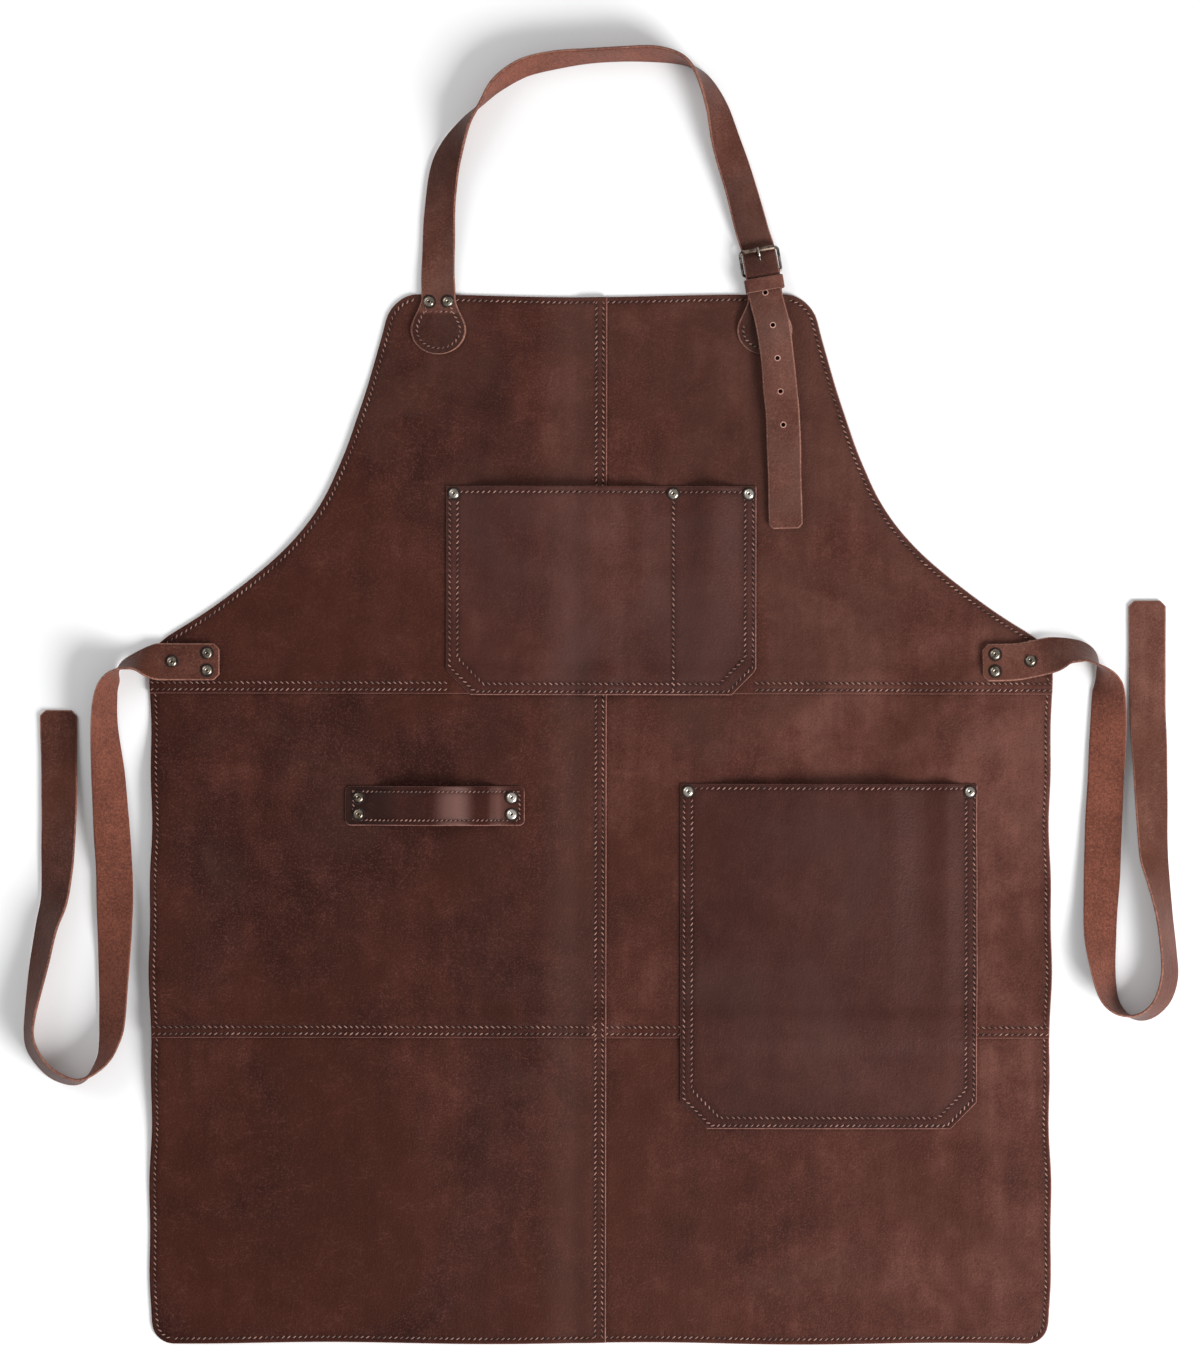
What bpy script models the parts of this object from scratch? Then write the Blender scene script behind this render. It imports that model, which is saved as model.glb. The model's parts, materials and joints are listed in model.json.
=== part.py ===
"""A leather blacksmith apron lying flat, face up, with its neck strap, buckle and waist ties.

Lengths are in metres and +Z is up. The origin is where the waist seam meets the middle of the body,
on the ground. +X runs to the right of the apron as it is seen, and +Y from the hem to the bib.
"""

import math

import bmesh
import bpy
import numpy as np
from mathutils import Matrix, Vector

# Leather and the clearance between pieces that touch
LEATHER = 0.0016
GAP = 0.0003
SETTLE = 0.0001

# Body
BODY_WIDTH = 0.674
BIB_HEIGHT = 0.299
SKIRT_HEIGHT = 0.487
LOWER_SEAM_DEPTH = 0.258
SEAM_X = 0.004
LAP = 0.012
RAMP = 0.014
BIB_CORNER = 0.020
HEM_CORNER = 0.016
SIDE_LIFT = 0.009
SIDE_LIFT_WIDTH = 0.075
# Where the side starts to lift below the waist and above the hem, and how long each rise is, as
# shares of the skirt's height
LIFT_BELOW_WAIST = (0.02, 0.16)
LIFT_ABOVE_HEM = (0.80, 0.40)

# Pocket on the bib, with two compartments
BIB_POCKET_WIDTH = 0.232
BIB_POCKET_HEIGHT = 0.156
BIB_POCKET_BOTTOM = -0.001
BIB_POCKET_DIVIDER = 0.054
BIB_POCKET_CHAMFER = 0.0185
BIB_POCKET_CROWN = 0.0068

# Pocket on the right hip
HIP_POCKET_WIDTH = 0.222
HIP_POCKET_HEIGHT = 0.258
HIP_POCKET_CHAMFER = 0.020
HIP_POCKET_CENTRE_X = 0.171
HIP_POCKET_TOP_DEPTH = 0.068
HIP_POCKET_CROWN = 0.0085
POCKET_MARGIN = 0.009
# How far in from a pocket's side its cut corners move the columns, in chamfers
CHAMFER_SPREAD = 1.9

# Loop for tools on the left hip
TOOL_LOOP_WIDTH = 0.134
TOOL_LOOP_HEIGHT = 0.029
TOOL_LOOP_CENTRE_X = -0.1243
TOOL_LOOP_TOP_DEPTH = 0.070
TOOL_LOOP_RISE = 0.0105

# Neck strap and its two round ends
STRAP_WIDTH = 0.0245
STRAP_WALL = 0.0026
PAD_HALF_WIDTH = 0.0204
PAD_TIP = 0.0015
# The round end is half an ellipse this long, and then draws in to the strap along its taper
PAD_ROUND = 0.018
PAD_TAPER = 0.024
PAD_SPREAD = 0.1223
PAD_DEPTH = 0.0445
NECK_RISE = 0.1823
TAIL_DEPTH = 0.175
HOLE_DIAMETER = 0.003
HOLE_PITCH = 0.025
HOLES = 5
TAIL_CHAMFER = 0.003
NECK_SPACING = 0.0070

# Buckle, the strap that holds it and the keeper
BUCKLE_STRAP_WALL = 0.0022
BUCKLE_STRAP_SPACING = 0.0016
# How far below the rivets the upper layer starts to climb, how far past them the return runs, and
# how straight the strap leaves the heel bar
STRAP_CLIMB = 0.0085
STRAP_RETURN = 0.006
STRAP_STRAIGHT = 0.007
STRAP_UNDER_ROLLER = 0.0024
HEEL_SHARE = 0.985
HEEL_RISE = 0.0155
BUCKLE_TURN = math.radians(10)
BUCKLE_LENGTH = 0.0182
BUCKLE_WIRE = 0.0022
BUCKLE_BEND = 1.2
BUCKLE_INNER_WIDTH = 0.0266
ROLLER_WALL = 0.0005
PRONG_WIRE = 0.0018
PRONG_REACH = 0.0198
# The stretch of the prong that passes through the strap: share of the buckle's length, height
PRONG_SLOPE = ((0.41, 0.0047), (0.75, 0.0100))
PRONG_FLAT = 0.22
KEEPER_FROM_HEEL = 0.0031
KEEPER_LENGTH = 0.0096
KEEPER_WALL = 0.0016
KEEPER_SPACE = 0.0008

# Waist ties
TIE_WIDTH = 0.027
TIE_WALL = 0.0022
TIE_REACH = 0.094
TIE_DROP = 0.3165
TIE_HEIGHT = 0.0233
TIE_CHAMFER = 0.004
TIE_SPACING = 0.0095

# Rivets
RIVET_CAP = 0.008
RIVET_RISE = 0.0018
RIVET_SHANK = 0.0024
RIVET_BACK = 0.0066
RIVET_BACK_WALL = 0.0006
RIVET_INSET = 0.0054
PAD_RIVET_GAP = 0.0140
PAD_RIVET_DEPTH = 0.0056
TIE_RIVET_GAP = 0.0128
TIE_RIVET_INSET = 0.009
TIE_RIVET_ROW = 0.0265
LOOP_RIVET_INSET = 0.0095
LOOP_RIVET_GAP = 0.0126

# Cutters: how far they run past what they cut, the bore for the prong, and the turn that keeps
# their edges off the grid of the leather
CUTTER_REACH = 0.002
PRONG_BORE_DEPTH = 0.012
CUTTER_TWIST = math.radians(13)

# One layer of leather with the clearance above it
LAYER = LEATHER + GAP
HALF_BODY = BODY_WIDTH / 2
HEM_Y = -SKIRT_HEIGHT
LOWER_Y = -LOWER_SEAM_DEPTH

# Half width of the bib: share of the bib's height, share of half the body's width
BIB_OUTLINE = (
    (0.000, 1.000),
    (0.118, 1.000),
    (0.193, 0.890),
    (0.268, 0.798),
    (0.343, 0.717),
    (0.419, 0.655),
    (0.494, 0.612),
    (0.607, 0.568),
    (0.757, 0.523),
    (0.907, 0.485),
    (1.000, 0.466),
)

# Crown of a pocket's mouth: share of the pocket's width, share of its crown
BIB_POCKET_FOLDS = (
    (0.00, 0.00),
    (0.04, 0.00),
    (0.16, 0.70),
    (0.30, 1.00),
    (0.48, 0.85),
    (0.62, 0.60),
    (0.70, 0.00),
    (0.755, 0.00),
    (0.86, 0.90),
    (0.96, 0.00),
    (1.00, 0.00),
)
HIP_POCKET_FOLDS = (
    (0.00, 0.00),
    (0.04, 0.00),
    (0.25, 0.60),
    (0.50, 0.85),
    (0.70, 1.00),
    (0.83, 0.35),
    (0.895, 0.55),
    (0.96, 0.00),
    (1.00, 0.00),
)
# Arch of the tool loop: share of its width, share of its rise
TOOL_LOOP_ARCH = (
    (0.00, 0.00),
    (0.14, 0.00),
    (0.30, 0.55),
    (0.48, 1.00),
    (0.60, 0.85),
    (0.71, 0.42),
    (0.80, 0.50),
    (0.87, 0.00),
    (1.00, 0.00),
)

# Neck strap between the left round end and the buckle. Columns: share of the spread of the round
# ends, share of the rise above the bib, roll in degrees (negative lifts the right edge), height of
# the lower edge as a share of one strap wall.
NECK_ROUTE = (
    (-1.003, 0.085, -5, 0.45),
    (-0.998, 0.200, -12, 0.10),
    (-0.992, 0.337, -22, 0.0),
    (-0.967, 0.492, -30, 0.0),
    (-0.924, 0.589, -42, 0.0),
    (-0.837, 0.701, -72, 0.0),
    (-0.742, 0.780, -90, 0.0),
    (-0.640, 0.860, -109, 0.0),
    (-0.484, 0.927, -117, 0.0),
    (-0.297, 0.959, -116, 0.0),
    (-0.089, 0.976, -109, 0.0),
    (0.126, 0.985, -108, 0.0),
    (0.313, 0.986, -111, 0.0),
    (0.451, 0.971, -103, 0.0),
    (0.543, 0.940, -89, 0.0),
    (0.629, 0.875, -68, 0.0),
    (0.705, 0.764, -49, 0.0),
    (0.763, 0.622, -29, 0.0),
    (0.846, 0.447, -18, 0.2),
    (0.922, 0.262, -6, 0.6),
)
# Free tail of the neck strap over the bib. Columns: share of the spread, share of the tail's depth
# below the bib's top, clearance as a share of that over the rivets.
TAIL_ROUTE = (
    (1.008, 0.020, 1.00),
    (1.046, 0.125, 1.00),
    (1.076, 0.270, 0.96),
    (1.095, 0.412, 0.88),
    (1.113, 0.558, 0.80),
    (1.131, 1.000, 0.55),
)

# Waist ties from their riveted ends. Columns: share of the reach past the body's side, share of the
# drop, roll in degrees (as on the left tie, which lifts the left edge first), height of the lower
# edge as a share of its height on the bib.
LEFT_TIE_ROUTE = (
    (-0.540, 0.000, 0, 1.0),
    (-0.300, 0.000, 0, 1.0),
    (-0.200, 0.000, 0, 1.0),
    (-0.110, 0.000, 0, 1.0),
    (-0.080, 0.000, 0, 1.0),
    (-0.016, 0.000, 20, 1.0),
    (0.117, 0.000, 62, 0.7),
    (0.215, -0.008, 78, 0.4),
    (0.271, -0.021, 92, 0.2),
    (0.310, -0.040, 112, 0.0),
    (0.357, -0.076, 124, 0.0),
    (0.371, -0.152, 133, 0.0),
    (0.340, -0.270, 150, 0.2),
    (0.315, -0.389, 166, 0.5),
    (0.292, -0.507, 180, 0.6),
    (0.287, -0.626, 196, 0.4),
    (0.291, -0.709, 208, 0.0),
    (0.303, -0.846, 222, 0.0),
    (0.327, -0.898, 234, 0.0),
    (0.378, -0.941, 250, 0.0),
    (0.498, -0.982, 270, 0.0),
    (0.610, -0.993, 281, 0.0),
    (0.761, -0.977, 287, 0.0),
    (0.869, -0.948, 288, 0.0),
    (0.944, -0.912, 289, 0.0),
    (0.966, -0.875, 287, 0.0),
    (0.950, -0.827, 290, 0.0),
    (0.920, -0.773, 296, 0.0),
    (0.880, -0.709, 304, 0.0),
    (0.825, -0.626, 310, 0.0),
    (0.769, -0.566, 321, 0.0),
    (0.749, -0.507, 330, 0.0),
    (0.741, -0.448, 337, 0.0),
    (0.733, -0.329, 350, 0.0),
    (0.741, -0.152, 360, 0.0),
    (0.741, -0.116, 360, 0.0),
)
RIGHT_TIE_ROUTE = (
    (-0.540, 0.000, 0, 1.0),
    (-0.300, 0.002, 0, 1.0),
    (-0.200, 0.006, 0, 1.0),
    (-0.100, 0.012, 0, 1.0),
    (0.012, 0.020, 15, 1.0),
    (0.124, 0.028, 44, 0.8),
    (0.227, 0.027, 55, 0.5),
    (0.299, 0.020, 66, 0.3),
    (0.355, 0.003, 80, 0.2),
    (0.398, -0.016, 102, 0.0),
    (0.442, -0.043, 130, 0.0),
    (0.458, -0.073, 148, 0.0),
    (0.458, -0.152, 166, 0.2),
    (0.441, -0.270, 177, 0.4),
    (0.422, -0.389, 182, 0.5),
    (0.409, -0.507, 189, 0.4),
    (0.394, -0.626, 202, 0.1),
    (0.410, -0.713, 222, 0.0),
    (0.450, -0.780, 237, 0.0),
    (0.514, -0.813, 251, 0.0),
    (0.610, -0.832, 269, 0.0),
    (0.689, -0.836, 280, 0.0),
    (0.761, -0.831, 288, 0.0),
    (0.837, -0.815, 294, 0.0),
    (0.904, -0.785, 300, 0.0),
    (0.942, -0.740, 301, 0.0),
    (0.936, -0.687, 298, 0.0),
    (0.908, -0.614, 298, 0.0),
    (0.884, -0.566, 303, 0.0),
    (0.849, -0.507, 313, 0.0),
    (0.817, -0.448, 326, 0.0),
    (0.801, -0.329, 335, 0.0),
    (0.788, -0.211, 346, 0.0),
    (0.773, -0.092, 358, 0.0),
    (0.769, 0.147, 360, 0.0),
)


# Scene and materials


def empty_scene():
    for old in list(bpy.data.objects):
        bpy.data.objects.remove(old, do_unlink=True)


def collection(name):
    group = bpy.data.collections.new(name)
    bpy.context.scene.collection.children.link(group)
    return group


def material(name, colour, roughness, metallic=0.0):
    made = bpy.data.materials.new(name)
    made.use_nodes = True
    shader = made.node_tree.nodes["Principled BSDF"]
    shader.inputs["Base Color"].default_value = (*colour, 1.0)
    shader.inputs["Roughness"].default_value = roughness
    shader.inputs["Metallic"].default_value = metallic
    made.diffuse_color = (*colour, 1.0)
    return made


def add_object(name, mesh, finish, group):
    made = bpy.data.objects.new(name, mesh)
    mesh.materials.append(material(name, *finish))
    group.objects.link(made)
    return made


BODY_FINISH = ((0.095, 0.034, 0.022), 0.55)
STRAP_FINISH = ((0.150, 0.062, 0.036), 0.50)
BRASS_FINISH = ((0.240, 0.175, 0.110), 0.35, 1.0)
STEEL_FINISH = ((0.160, 0.140, 0.120), 0.35, 1.0)


# Curves and tables


def smooth(share):
    """Rises from 0 to 1 with level ends."""
    t = min(max(share, 0.0), 1.0)
    return t * t * (3 - 2 * t)


def read_table(table, share):
    """Value of a two-column table at a share, with straight lines between its rows."""
    return float(np.interp(share, [r[0] for r in table], [r[1] for r in table]))


def read_folds(table, share):
    """Value of a two-column table at a share, with level crests and hollows."""
    for (x0, y0), (x1, y1) in zip(table, table[1:]):
        if share <= x1:
            return y0 + (y1 - y0) * smooth((share - x0) / (x1 - x0))
    return table[-1][1]


def through(rows, steps=12):
    """A dense smooth line through the rows of a table, each column alike."""
    rows = np.asarray(rows, float)
    ends = np.vstack([2 * rows[0] - rows[1], rows, 2 * rows[-1] - rows[-2]])
    line = []
    for p0, p1, p2, p3 in zip(ends, ends[1:], ends[2:], ends[3:]):
        for step in range(steps):
            t = step / steps
            line.append(
                p1
                + 0.5 * t * (p2 - p0)
                + t * t * (p0 - 2.5 * p1 + 2 * p2 - 0.5 * p3)
                + t**3 * (1.5 * (p1 - p2) + 0.5 * (p3 - p0))
            )
    line.append(rows[-1])
    return np.array(line)


def lengths_along(line, axes=2):
    """Distance of each point of a line from its start, measured along it."""
    steps = np.linalg.norm(np.diff(line[:, :axes], axis=0), axis=1)
    return np.concatenate([[0.0], np.cumsum(steps)])


# Body outline and heights


def half_width(y):
    """Half width of the body at y, with its rounded upper and lower corners."""
    if y >= 0:
        width = HALF_BODY * read_table(BIB_OUTLINE, y / BIB_HEIGHT)
        into, radius = y - (BIB_HEIGHT - BIB_CORNER), BIB_CORNER
    else:
        width = HALF_BODY
        into, radius = HEM_Y + HEM_CORNER - y, HEM_CORNER
    if into > 0:
        width -= radius - math.sqrt(max(radius**2 - into**2, 0.0))
    return width


def corner_rows(radius, count=4):
    """Distances from a straight edge, falling from the radius, that draw a rounded corner."""
    return [radius * (1 - math.sin(math.pi / 2 * k / count)) for k in range(count)]


def left_rise(x):
    """Share of a layer that the left panels climb before the right panels' hidden edge."""
    return smooth((x - (SEAM_X - LAP - RAMP)) / RAMP)


def right_fall(x):
    """Share of a layer left on the right panels past the left panels' edge."""
    return smooth((SEAM_X + RAMP - x) / RAMP)


def over_seam(x):
    """Plateau over the middle seam, with a slope on each side."""
    return min(left_rise(x), right_fall(x))


def waist_rise(y):
    return smooth((LAP + RAMP - y) / RAMP)


def lower_rise(y):
    return smooth((LOWER_Y + LAP + RAMP - y) / RAMP)


def lower_plateau(y):
    """The lower seam's step as a piece sees it that crosses the seam."""
    return min(lower_rise(y), smooth((y - (LOWER_Y - RAMP)) / RAMP))


def side_lift(x, y):
    """The left side stands off the ground between the waist and the lower seam."""
    across = smooth((-x - (HALF_BODY - SIDE_LIFT_WIDTH)) / SIDE_LIFT_WIDTH)
    down = -y / SKIRT_HEIGHT
    below_waist = smooth((down - LIFT_BELOW_WAIST[0]) / LIFT_BELOW_WAIST[1])
    above_hem = smooth((LIFT_ABOVE_HEM[0] - down) / LIFT_ABOVE_HEM[1])
    return SIDE_LIFT * across * below_waist * above_hem


def low_right_height(x, y):
    return side_lift(x, y)


def low_left_height(x, y):
    return LAYER * left_rise(x) + side_lift(x, y)


def mid_right_height(x, y):
    return LAYER * lower_rise(y) * (1 + right_fall(x)) + side_lift(x, y)


def mid_left_height(x, y):
    rise = left_rise(x)
    return LAYER * (rise + lower_rise(y) * (1 + rise)) + side_lift(x, y)


def bib_right_height(x, y):
    return LAYER * waist_rise(y) * (1 + right_fall(x))


def bib_left_height(x, y):
    rise = left_rise(x)
    return LAYER * (rise + waist_rise(y) * (1 + rise))


def bib_pocket_height(x, y):
    """Underside of the bib pocket: over both bib panels and the seam between them."""
    rise = over_seam(x)
    share = x / BIB_POCKET_WIDTH + 0.5
    up = (y - BIB_POCKET_BOTTOM - POCKET_MARGIN) / (BIB_POCKET_HEIGHT - POCKET_MARGIN)
    crown = BIB_POCKET_CROWN * read_folds(BIB_POCKET_FOLDS, share) * smooth(up)
    return LAYER * (1 + rise + waist_rise(y) * (1 + rise)) + crown


def hip_pocket_height(x, y):
    share = (x - HIP_POCKET_CENTRE_X) / HIP_POCKET_WIDTH + 0.5
    bottom = -HIP_POCKET_TOP_DEPTH - HIP_POCKET_HEIGHT
    up = (y - bottom - POCKET_MARGIN) / (HIP_POCKET_HEIGHT - POCKET_MARGIN)
    crown = HIP_POCKET_CROWN * read_folds(HIP_POCKET_FOLDS, share) * smooth(up)
    return LAYER * (1 + lower_plateau(y)) + crown


def tool_loop_height(x, y):
    share = (x - TOOL_LOOP_CENTRE_X) / TOOL_LOOP_WIDTH + 0.5
    return LAYER + TOOL_LOOP_RISE * read_folds(TOOL_LOOP_ARCH, share)


# Leather sheets


def sheet(name, columns, rows, place, wall, finish, group, offset=1.0):
    """A grid bent to place(column, row) and thickened upwards."""
    bm = bmesh.new()
    bmesh.ops.create_grid(bm, x_segments=len(columns) - 1, y_segments=len(rows) - 1, size=1)
    for vert in bm.verts:
        i = round((vert.co.x + 1) / 2 * (len(columns) - 1))
        j = round((vert.co.y + 1) / 2 * (len(rows) - 1))
        vert.co = Vector(place(columns[i], rows[j]))
    bm.normal_update()
    if sum(face.normal.z for face in bm.faces) < 0:
        bmesh.ops.reverse_faces(bm, faces=bm.faces)
    mesh = bpy.data.meshes.new(name)
    bm.to_mesh(mesh)
    bm.free()
    made = add_object(name, mesh, finish, group)
    thick = made.modifiers.new("Leather wall", "SOLIDIFY")
    thick.thickness = wall
    thick.offset = offset
    return made


def steps_between(start, end, count):
    return [start + (end - start) * k / count for k in range(1, count + 1)]


def seam_steps(edge, hidden_edge, direction):
    """Places across a seam's step: its plateau, then the slope that runs off it."""
    return [edge, hidden_edge] + steps_between(hidden_edge, hidden_edge + direction * RAMP, 3)


# Where the layers step over the middle seam, the waist seam and the lower seam
LEFT_STEPS = seam_steps(SEAM_X, SEAM_X - LAP, -1)
RIGHT_STEPS = seam_steps(SEAM_X - LAP, SEAM_X, 1)
WAIST_STEPS = seam_steps(0.0, LAP, 1)
LOWER_STEPS = seam_steps(LOWER_Y, LOWER_Y + LAP, 1)
LOWER_FALL = steps_between(LOWER_Y, LOWER_Y - RAMP, 3)
# Shares of the way to the left side where it starts to lift, and on to the edge
LIFT_SHARES = (0.76, 0.82, 0.88, 0.94, 1.0)


def panel(name, side, outer_shares, rows, height, group):
    """A body panel on one side (-1 left, 1 right) of the middle seam."""
    steps = LEFT_STEPS if side < 0 else RIGHT_STEPS
    columns = [(x, 0.0) for x in steps] + [(steps[-1], share) for share in outer_shares]

    def place(column, y):
        start, share = column
        x = start + (side * half_width(y) - start) * share
        return x, y, height(x, y)

    return sheet(name, columns, rows, place, LEATHER, BODY_FINISH, group)


def build_body(group):
    top_rows = [BIB_HEIGHT - d for d in corner_rows(BIB_CORNER)]
    outline_rows = [BIB_HEIGHT * share for share, _ in BIB_OUTLINE]
    outline_rows = [y for y in outline_rows if WAIST_STEPS[-1] < y < top_rows[0]]
    bib_rows = WAIST_STEPS + outline_rows + top_rows + [BIB_HEIGHT]

    hem_rows = [HEM_Y] + [HEM_Y + d for d in reversed(corner_rows(HEM_CORNER))]
    mid_right_rows = LOWER_STEPS + [LAP]
    low_right_rows = hem_rows + [LOWER_Y + LAP]
    mid_left_rows = LOWER_STEPS + steps_between(LOWER_STEPS[-1], 0.0, 7) + [LAP]
    low_left_rows = hem_rows + steps_between(hem_rows[-1], LOWER_Y, 4) + [LOWER_Y + LAP]

    plain = (1.0,)
    panels = (
        ("bib_left", -1, plain, bib_rows, bib_left_height),
        ("bib_right", 1, plain, bib_rows, bib_right_height),
        ("mid_left", -1, LIFT_SHARES, mid_left_rows, mid_left_height),
        ("mid_right", 1, plain, mid_right_rows, mid_right_height),
        ("low_left", -1, LIFT_SHARES, low_left_rows, low_left_height),
        ("low_right", 1, plain, low_right_rows, low_right_height),
    )
    return {row[0]: panel(*row, group) for row in panels}


def pocket(name, centre_x, width, bottom, height, chamfer, columns, seam_ys, surface, group):
    """A pocket with cut lower corners, on columns of distances from its middle."""
    upper = [bottom + height * share for share in (0.40, 0.62, 0.82)]
    upper = [y for y in upper if y > max(seam_ys)]
    rows = sorted({bottom, bottom + chamfer, bottom + height, *seam_ys, *upper})
    kept = width / 2 - CHAMFER_SPREAD * chamfer

    def place(distance, y):
        inset = max(chamfer - (y - bottom), 0.0)
        beyond = max(abs(distance) - kept, 0.0) / (width / 2 - kept)
        x = centre_x + distance - math.copysign(inset * beyond, distance)
        return x, y, surface(x, y)

    return sheet(name, sorted(columns), rows, place, LEATHER, BODY_FINISH, group)


def build_pockets(group):
    bib_columns = {(share - 0.5) * BIB_POCKET_WIDTH for share, _ in BIB_POCKET_FOLDS}
    bib_columns |= {*LEFT_STEPS, *RIGHT_STEPS}
    bib = pocket(
        "bib_pocket",
        0.0,
        BIB_POCKET_WIDTH,
        BIB_POCKET_BOTTOM,
        BIB_POCKET_HEIGHT,
        BIB_POCKET_CHAMFER,
        bib_columns,
        WAIST_STEPS[1:],
        bib_pocket_height,
        group,
    )
    folds = zip(HIP_POCKET_FOLDS, HIP_POCKET_FOLDS[1:])
    hip_shares = [share for share, _ in HIP_POCKET_FOLDS]
    hip_shares += [(a[0] + b[0]) / 2 for a, b in folds if b[0] - a[0] > 0.15]
    hip = pocket(
        "hip_pocket",
        HIP_POCKET_CENTRE_X,
        HIP_POCKET_WIDTH,
        -HIP_POCKET_TOP_DEPTH - HIP_POCKET_HEIGHT,
        HIP_POCKET_HEIGHT,
        HIP_POCKET_CHAMFER,
        [(share - 0.5) * HIP_POCKET_WIDTH for share in hip_shares],
        [*LOWER_STEPS, *LOWER_FALL],
        hip_pocket_height,
        group,
    )
    shares = sorted(
        {share for share, _ in TOOL_LOOP_ARCH}
        | {(a[0] + b[0]) / 2 for a, b in zip(TOOL_LOOP_ARCH, TOOL_LOOP_ARCH[1:])}
    )

    def place_loop(share, y):
        x = TOOL_LOOP_CENTRE_X + (share - 0.5) * TOOL_LOOP_WIDTH
        return x, y, tool_loop_height(x, y)

    top = -TOOL_LOOP_TOP_DEPTH
    loop_rows = [top - TOOL_LOOP_HEIGHT, top]
    loop = sheet("tool_loop", shares, loop_rows, place_loop, LEATHER, BODY_FINISH, group)
    return {"bib_pocket": bib, "hip_pocket": hip, "tool_loop": loop}


# Straps


def ribbon(name, stations, wall, group):
    """A strap through stations of centre, vector to its left edge and half width."""
    ends = [-1, 1]

    def place(edge, index):
        centre, across, half = stations[index]
        return centre + across * (edge * half)

    rows = list(range(len(stations)))
    return sheet(name, ends, rows, place, wall, STRAP_FINISH, group, offset=0.0)


def rolled_stations(line, places, width_at, wall, width):
    """Stations on a line of x, y, roll in degrees and height of the lower edge."""
    along = lengths_along(line)
    stations = []
    for s in places:
        x, y, roll, base = (np.interp(s, along, line[:, k]) for k in range(4))
        ahead = [np.interp(min(s + 1e-3, along[-1]), along, line[:, k]) for k in range(2)]
        behind = [np.interp(max(s - 1e-3, 0.0), along, line[:, k]) for k in range(2)]
        travel = Vector((ahead[0] - behind[0], ahead[1] - behind[1], 0.0)).normalized()
        left = Vector((-travel.y, travel.x, 0.0))
        turn = math.radians(roll)
        across = left * math.cos(turn) + Vector((0, 0, math.sin(turn)))
        middle = base + width / 2 * abs(math.sin(turn)) + wall / 2 * abs(math.cos(turn)) + SETTLE
        stations.append((Vector((x, y, middle)), across, width_at(s)))
    return stations


def even_places(start, end, spacing):
    count = max(1, math.ceil((end - start) / spacing))
    return [start + (end - start) * k / count for k in range(count + 1)]


# Heights of the straps over the bib and at the buckle
BIB_TOP = LAYER
WIRE_RADIUS = BUCKLE_WIRE / 2
BAR_Z = BIB_TOP + BUCKLE_STRAP_WALL + GAP + WIRE_RADIUS
FOLD_RADIUS = WIRE_RADIUS + GAP + BUCKLE_STRAP_WALL / 2
FOLD_TOP = BAR_Z + FOLD_RADIUS + BUCKLE_STRAP_WALL / 2
DOUBLE_TOP = BIB_TOP + 2 * BUCKLE_STRAP_WALL + GAP
ROLLER_RADIUS = WIRE_RADIUS + GAP + ROLLER_WALL
STRAP_OVER_FOLD = FOLD_TOP + 3 * GAP
ROLLER_Z = STRAP_UNDER_ROLLER + STRAP_WALL + 4 * GAP + ROLLER_RADIUS
TAIL_CLEAR = DOUBLE_TOP + GAP + RIVET_RISE + GAP
TURN = Matrix.Rotation(BUCKLE_TURN, 4, "Z")
# Middle of the heel bar, on the ground
HEEL = Vector((PAD_SPREAD * HEEL_SHARE, BIB_HEIGHT + HEEL_RISE, 0.0))


def from_buckle(x, y, z):
    """A point given from the heel bar, with +y towards the roller."""
    return HEEL + TURN @ Vector((x, y, z))


def neck_line():
    """Middle line of the neck strap: x, y, roll, height of the lower edge."""
    pad_end = (-PAD_SPREAD, BIB_HEIGHT - PAD_DEPTH, 0.0, BIB_TOP)
    pad_rise = (-PAD_SPREAD, BIB_HEIGHT - PAD_DEPTH + PAD_ROUND, 0.0, BIB_TOP)
    pad_top = (-PAD_SPREAD, BIB_HEIGHT, 0.0, BIB_TOP)
    rows = [pad_end, pad_rise, pad_top]
    for across, up, roll, base in NECK_ROUTE:
        lift = base * STRAP_WALL
        rows.append((PAD_SPREAD * across, BIB_HEIGHT + NECK_RISE * up, roll, lift))
    for y, z in (
        (BUCKLE_LENGTH, STRAP_UNDER_ROLLER),
        (0.0, STRAP_OVER_FOLD),
        (-FOLD_RADIUS, STRAP_OVER_FOLD - GAP),
    ):
        point = from_buckle(0.0, y, z)
        rows.append((point.x, point.y, 0.0, z))
    for across, down, clear in TAIL_ROUTE:
        rows.append((PAD_SPREAD * across, BIB_HEIGHT - TAIL_DEPTH * down, 0.0, TAIL_CLEAR * clear))
    return through(rows)


def pad_half_width(s, usual):
    """Half width of a strap with a round end at its start."""
    if s > PAD_ROUND:
        return usual + (PAD_HALF_WIDTH - usual) * (1 - smooth((s - PAD_ROUND) / PAD_TAPER))
    return max(PAD_HALF_WIDTH * math.sqrt(1 - (1 - s / PAD_ROUND) ** 2), PAD_TIP)


def pad_places():
    """Places along a round end, closer together near its tip, and down its taper."""
    tip = [PAD_ROUND * (1 - math.cos(math.pi / 2 * k / 5)) for k in range(6)]
    return tip + steps_between(PAD_ROUND, PAD_ROUND + PAD_TAPER, 4)


def build_neck_strap(group):
    line = neck_line()
    length = lengths_along(line)[-1]

    def width_at(s):
        half = pad_half_width(s, STRAP_WIDTH / 2)
        return half - max(TAIL_CHAMFER - (length - s), 0.0)

    places = pad_places()
    places += even_places(places[-1], length - TAIL_CHAMFER, NECK_SPACING)[1:] + [length]
    stations = rolled_stations(line, places, width_at, STRAP_WALL, STRAP_WIDTH)
    return ribbon("neck_strap", stations, STRAP_WALL, group)


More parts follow.
